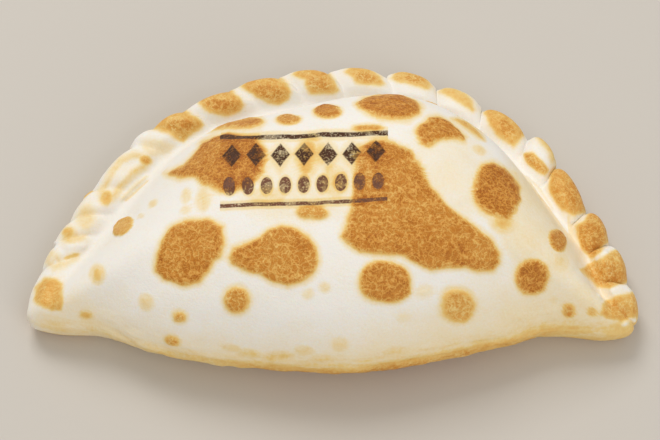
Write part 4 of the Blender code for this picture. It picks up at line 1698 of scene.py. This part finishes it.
@dataclass(frozen=True)
class CrustFinish:
    """Floury white dough that toasts through yellow and gold to brown."""

    name: str = "baked_crust"
    tones: tuple[tuple[float, tuple[float, float, float]], ...] = (
        (0.00, (243, 238, 229)),
        (0.14, (242, 226, 192)),
        (0.30, (237, 206, 136)),
        (0.46, (230, 182, 98)),
        (0.66, (216, 151, 66)),
        (0.86, (198, 127, 42)),
        (1.00, (172, 100, 28)),
    )
    baked_from: tuple[float, float] = (0.34, 0.70)
    edge_from: tuple[float, float] = (0.06, 0.30)
    curl_width: float = 0.07
    coil_width: float = 0.06
    coil_share: float = 0.8
    colouring: Colouring = Colouring()
    bumps: Bumps = Bumps()
    scorched: tuple[float, float, float] = (68, 38, 16)
    scorched_pale: tuple[float, float, float] = (122, 80, 58)
    speck_wear: tuple[float, float, float] = (0.34, 0.52, 0.45)  # from, to and how much scorching it leaves
    blot_wear: tuple[float, float, float] = (0.36, 0.56, 0.40)
    least_scorching: float = 0.28
    pale_low: tuple[float, float, float] = (0.42, 0.55, 0.75)
    pale_blots: tuple[float, float, float] = (0.45, 0.7, 0.25)
    covered_from: tuple[float, float] = (0.5, 0.9)
    roughness_dough: float = 0.68
    roughness_toasted: float = 0.50
    roughness_change: float = 0.15
    subsurface: float = 0.12
    subsurface_reach: tuple[float, float, float] = (1.0, 0.6, 0.35)
    subsurface_scale: float = 1.5 * MM
    specular: float = 0.22

    def make(self, mark: ScorchMark) -> bpy.types.Material:
        """Builds the material.

        Args:
            mark: The scorched mark that it also draws.

        Returns:
            The material.
        """
        material = bpy.data.materials.new(self.name)
        material.use_nodes = True
        tree = material.node_tree
        shader = tree.nodes["Principled BSDF"]
        toast = self._attribute(tree, "toast")
        broad, fine, curl, coil, weave, grain = (self._noise(tree, lumps) - 0.5 for lumps in (
            Lumps.BROAD, Lumps.FINE, Lumps.CURL, Lumps.COIL, Lumps.WEAVE, Lumps.GRAIN))

        scorching, paler, beside = self._scorch(tree, mark)
        baked, edge = toast.step(*self.baked_from), toast.step(*self.edge_from)
        curls = 1.0 - abs(curl).step(0.0, self.curl_width)
        coils = (1.0 - abs(coil).step(0.0, self.coil_width)) * self.coil_share
        thread = curls.most(coils) * baked
        by = self.colouring
        tone = toast + fine * (baked * by.fine + edge * by.fine) + broad * (baked * by.broad[1] + by.broad[0])
        tone = tone - thread * by.thread + baked * by.baked + grain * (baked * by.grain[1] + by.grain[0])
        tone = tone + weave * by.weave + beside * by.beside_mark

        ramp = tree.nodes.new("ShaderNodeValToRGB")
        bar = ramp.color_ramp
        for index, (where, colour) in enumerate(self.tones):
            stop = bar.elements[index] if index < 2 else bar.elements.new(where)
            stop.position = where
            stop.color = linear(*colour)
        plug(tree, tone, ramp.inputs["Fac"])
        burnt = self._mix(tree, paler, linear(*self.scorched), linear(*self.scorched_pale))
        colour = self._mix(tree, scorching, Wire(tree, ramp.outputs["Color"]), burnt)
        plug(tree, colour, shader.inputs["Base Color"])

        smooth = baked * (self.roughness_toasted - self.roughness_dough) + self.roughness_dough
        plug(tree, smooth + fine * self.roughness_change, shader.inputs["Roughness"])
        for socket, value in (
            ("Subsurface Weight", self.subsurface), ("Subsurface Radius", self.subsurface_reach),
            ("Subsurface Scale", self.subsurface_scale), ("Specular IOR Level", self.specular),
        ):
            shader.inputs[socket].default_value = value

        by = self.bumps
        height = grain * by.grain + weave * by.weave + fine * (baked * by.fine[1] + by.fine[0])
        height = height + thread * by.thread - scorching * by.mark
        bump = tree.nodes.new("ShaderNodeBump")
        bump.inputs["Distance"].default_value = by.distance
        bump.inputs["Strength"].default_value = by.strength
        plug(tree, height, bump.inputs["Height"])
        tree.links.new(bump.outputs["Normal"], shader.inputs["Normal"])
        return material

    def _attribute(self, tree: bpy.types.NodeTree, name: str) -> Wire:
        """A value that the mesh carries."""
        node = tree.nodes.new("ShaderNodeAttribute")
        node.attribute_name = name
        return Wire(tree, node.outputs["Fac"])

    def _noise(self, tree: bpy.types.NodeTree, lumps: Lumps) -> Wire:
        """Smooth noise round 0.5 on the dough's own coordinates.

        Args:
            tree: The material's tree.
            lumps: The noise's sizes.

        Returns:
            The noise.
        """
        scale, detail, shift = lumps.value
        place = tree.nodes.new("ShaderNodeTexCoord")
        move = tree.nodes.new("ShaderNodeMapping")
        move.inputs["Location"].default_value = (shift, shift, shift)
        node = tree.nodes.new("ShaderNodeTexNoise")
        node.inputs["Scale"].default_value = scale
        node.inputs["Detail"].default_value = detail
        tree.links.new(place.outputs["Object"], move.inputs["Vector"])
        tree.links.new(move.outputs[0], node.inputs["Vector"])
        return Wire(tree, node.outputs[0])

    def _mix(self, tree: bpy.types.NodeTree, share: Wire, *colours: "Wire | tuple") -> Wire:
        """Mixes two colours.

        Args:
            tree: The material's tree.
            share: 0 for the first and 1 for the second.
            colours: Both colours.

        Returns:
            The mixed colour.
        """
        node = tree.nodes.new("ShaderNodeMix")
        node.data_type = "RGBA"
        plug(tree, share, node.inputs["Factor"])
        for name, colour in zip("AB", colours):
            plug(tree, colour, node.inputs[name])
        return Wire(tree, node.outputs["Result"])

    def _scorch(self, tree: bpy.types.NodeTree, mark: ScorchMark) -> tuple[Wire, Wire, Wire]:
        """Draws the scorched mark.

        Args:
            tree: The material's tree.
            mark: The mark.

        Returns:
            How scorched each place is, how much of that is the paler scorching, and how much the dough beside
            it has coloured.
        """
        chart = tree.nodes.new("ShaderNodeUVMap")
        chart.uv_map = mark.uv_name
        parts = tree.nodes.new("ShaderNodeSeparateXYZ")
        tree.links.new(chart.outputs[0], parts.inputs[0])
        u, v = Wire(tree, parts.outputs[0]), Wire(tree, parts.outputs[1])
        height = v + (self._noise(tree, Lumps.WOBBLE) - 0.5) * mark.wobble
        speck, blot = self._noise(tree, Lumps.SPECK), self._noise(tree, Lumps.BLOT)
        within = u.through("GREATER_THAN", 0.0) * u.through("LESS_THAN", 1.0)

        shapes, halos = [], []
        for rule in mark.rules:
            away = abs(height - rule.height)
            shapes.append(1.0 - away.step(rule.thick * mark.rule_edge, rule.thick))
            halos.append(1.0 - away.step(rule.halo * mark.rule_edge, rule.halo))
        for row in mark.rows:
            cell = (u * row.count).through("FRACT") - 0.5
            size = (abs(cell) / row.across) ** row.power + (abs(height - row.height) / row.tall) ** row.power
            shapes.append(1.0 - size.step(mark.row_edge, 1.0))
            halos.append(1.0 - size.step(*mark.row_halo))

        def noted(noise: Wire, start: float, end: float, amount: float) -> Wire:
            """A noise's part between two values, times an amount."""
            return noise.step(start, end) * amount

        worn = noted(speck, *self.speck_wear) + noted(blot, *self.blot_wear) + self.least_scorching
        low, high, amount = self.pale_low
        paler = (1.0 - v.step(low, high)) * amount + noted(blot, *self.pale_blots)
        covered = self._attribute(tree, "marked").step(*self.covered_from) * within
        marked, beside = (reduce(Wire.most, wires) * covered for wires in (shapes, halos))
        return marked * worn.least(1.0), paler.least(1.0), beside


@dataclass(frozen=True)
class FloorFinish:
    """A plain pale table."""

    name: str = "pale_table"
    colour: tuple[float, float, float] = (202, 195, 185)
    roughness: float = 0.8

    def make(self) -> bpy.types.Material:
        """Builds the material.

        Returns:
            The material.
        """
        material = bpy.data.materials.new(self.name)
        material.use_nodes = True
        shader = material.node_tree.nodes["Principled BSDF"]
        shader.inputs["Base Color"].default_value = linear(*self.colour)
        shader.inputs["Roughness"].default_value = self.roughness
        return material


# ------------------------------------------------------------------------------------------------- The studio


@dataclass(frozen=True)
class SoftLight:
    """One soft square panel of light."""

    name: str
    stand: tuple[float, float, float]
    size: float
    watts: float

    def make(self, aim: Vector) -> None:
        """Adds the panel to the scene.

        Args:
            aim: What it points at.
        """
        panel = bpy.data.lights.new(self.name, "AREA")
        panel.shape = "SQUARE"
        panel.size = self.size
        panel.energy = self.watts
        lamp = bpy.data.objects.new(self.name, panel)
        bpy.context.scene.collection.objects.link(lamp)
        lamp.location = self.stand
        lamp.rotation_euler = (aim - Vector(self.stand)).to_track_quat("-Z", "Y").to_euler()


@dataclass
class Studio:
    """A plain table and soft light from behind and above."""

    floor_half: float = 1.6
    sky: float = 0.55
    sky_colour: tuple[float, float, float, float] = (1.0, 0.99, 0.97, 1.0)
    aim: Vector = field(default_factory=lambda: Vector((0, 0, 0.015)))
    lights: tuple[SoftLight, ...] = (
        SoftLight("key_light", (-0.26, 0.55, 0.85), 0.5, 5.1),
        SoftLight("fill_light", (0.45, -0.80, 0.62), 0.7, 3.2),
    )

    def make(self) -> bpy.types.Object:
        """Adds floor, sky and lights.

        Returns:
            The floor.
        """
        half = self.floor_half
        mesh = bpy.data.meshes.new("table")
        mesh.from_pydata([(-half, -half, 0), (half, -half, 0), (half, half, 0), (-half, half, 0)], [],
                         [(0, 1, 2, 3)])
        mesh.materials.append(FloorFinish().make())
        floor = bpy.data.objects.new("table", mesh)
        bpy.context.scene.collection.objects.link(floor)
        world = bpy.data.worlds.new("studio")
        bpy.context.scene.world = world
        world.use_nodes = True
        background = world.node_tree.nodes["Background"]
        background.inputs["Strength"].default_value = self.sky
        background.inputs["Color"].default_value = self.sky_colour
        for light in self.lights:
            light.make(self.aim)
        bpy.context.scene.view_settings.view_transform = "Standard"
        return floor


def main() -> None:
    """Builds and dresses the empanada and its studio."""
    logging.basicConfig(level=logging.INFO, format="%(message)s")
    mark = ScorchMark()
    finish = CrustFinish().make(mark)
    dough = Dough()
    piece = dough.net()
    dough.pleat(piece, finish)
    view = PhotoView(dough.settle(piece))
    view.make()
    skin = Skin(piece, view)
    mark.place(skin)
    Baking(skin).finish()
    SkinRelief().apply(piece, finish)
    log.info("%s: %d points, %d faces", piece.name, len(piece.data.vertices), len(piece.data.polygons))
    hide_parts("empanada")
    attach(piece, "root")
    floor = Studio().make()
    log.info("%s: under the empanada", floor.name)


if __name__ == "__main__":
    main()
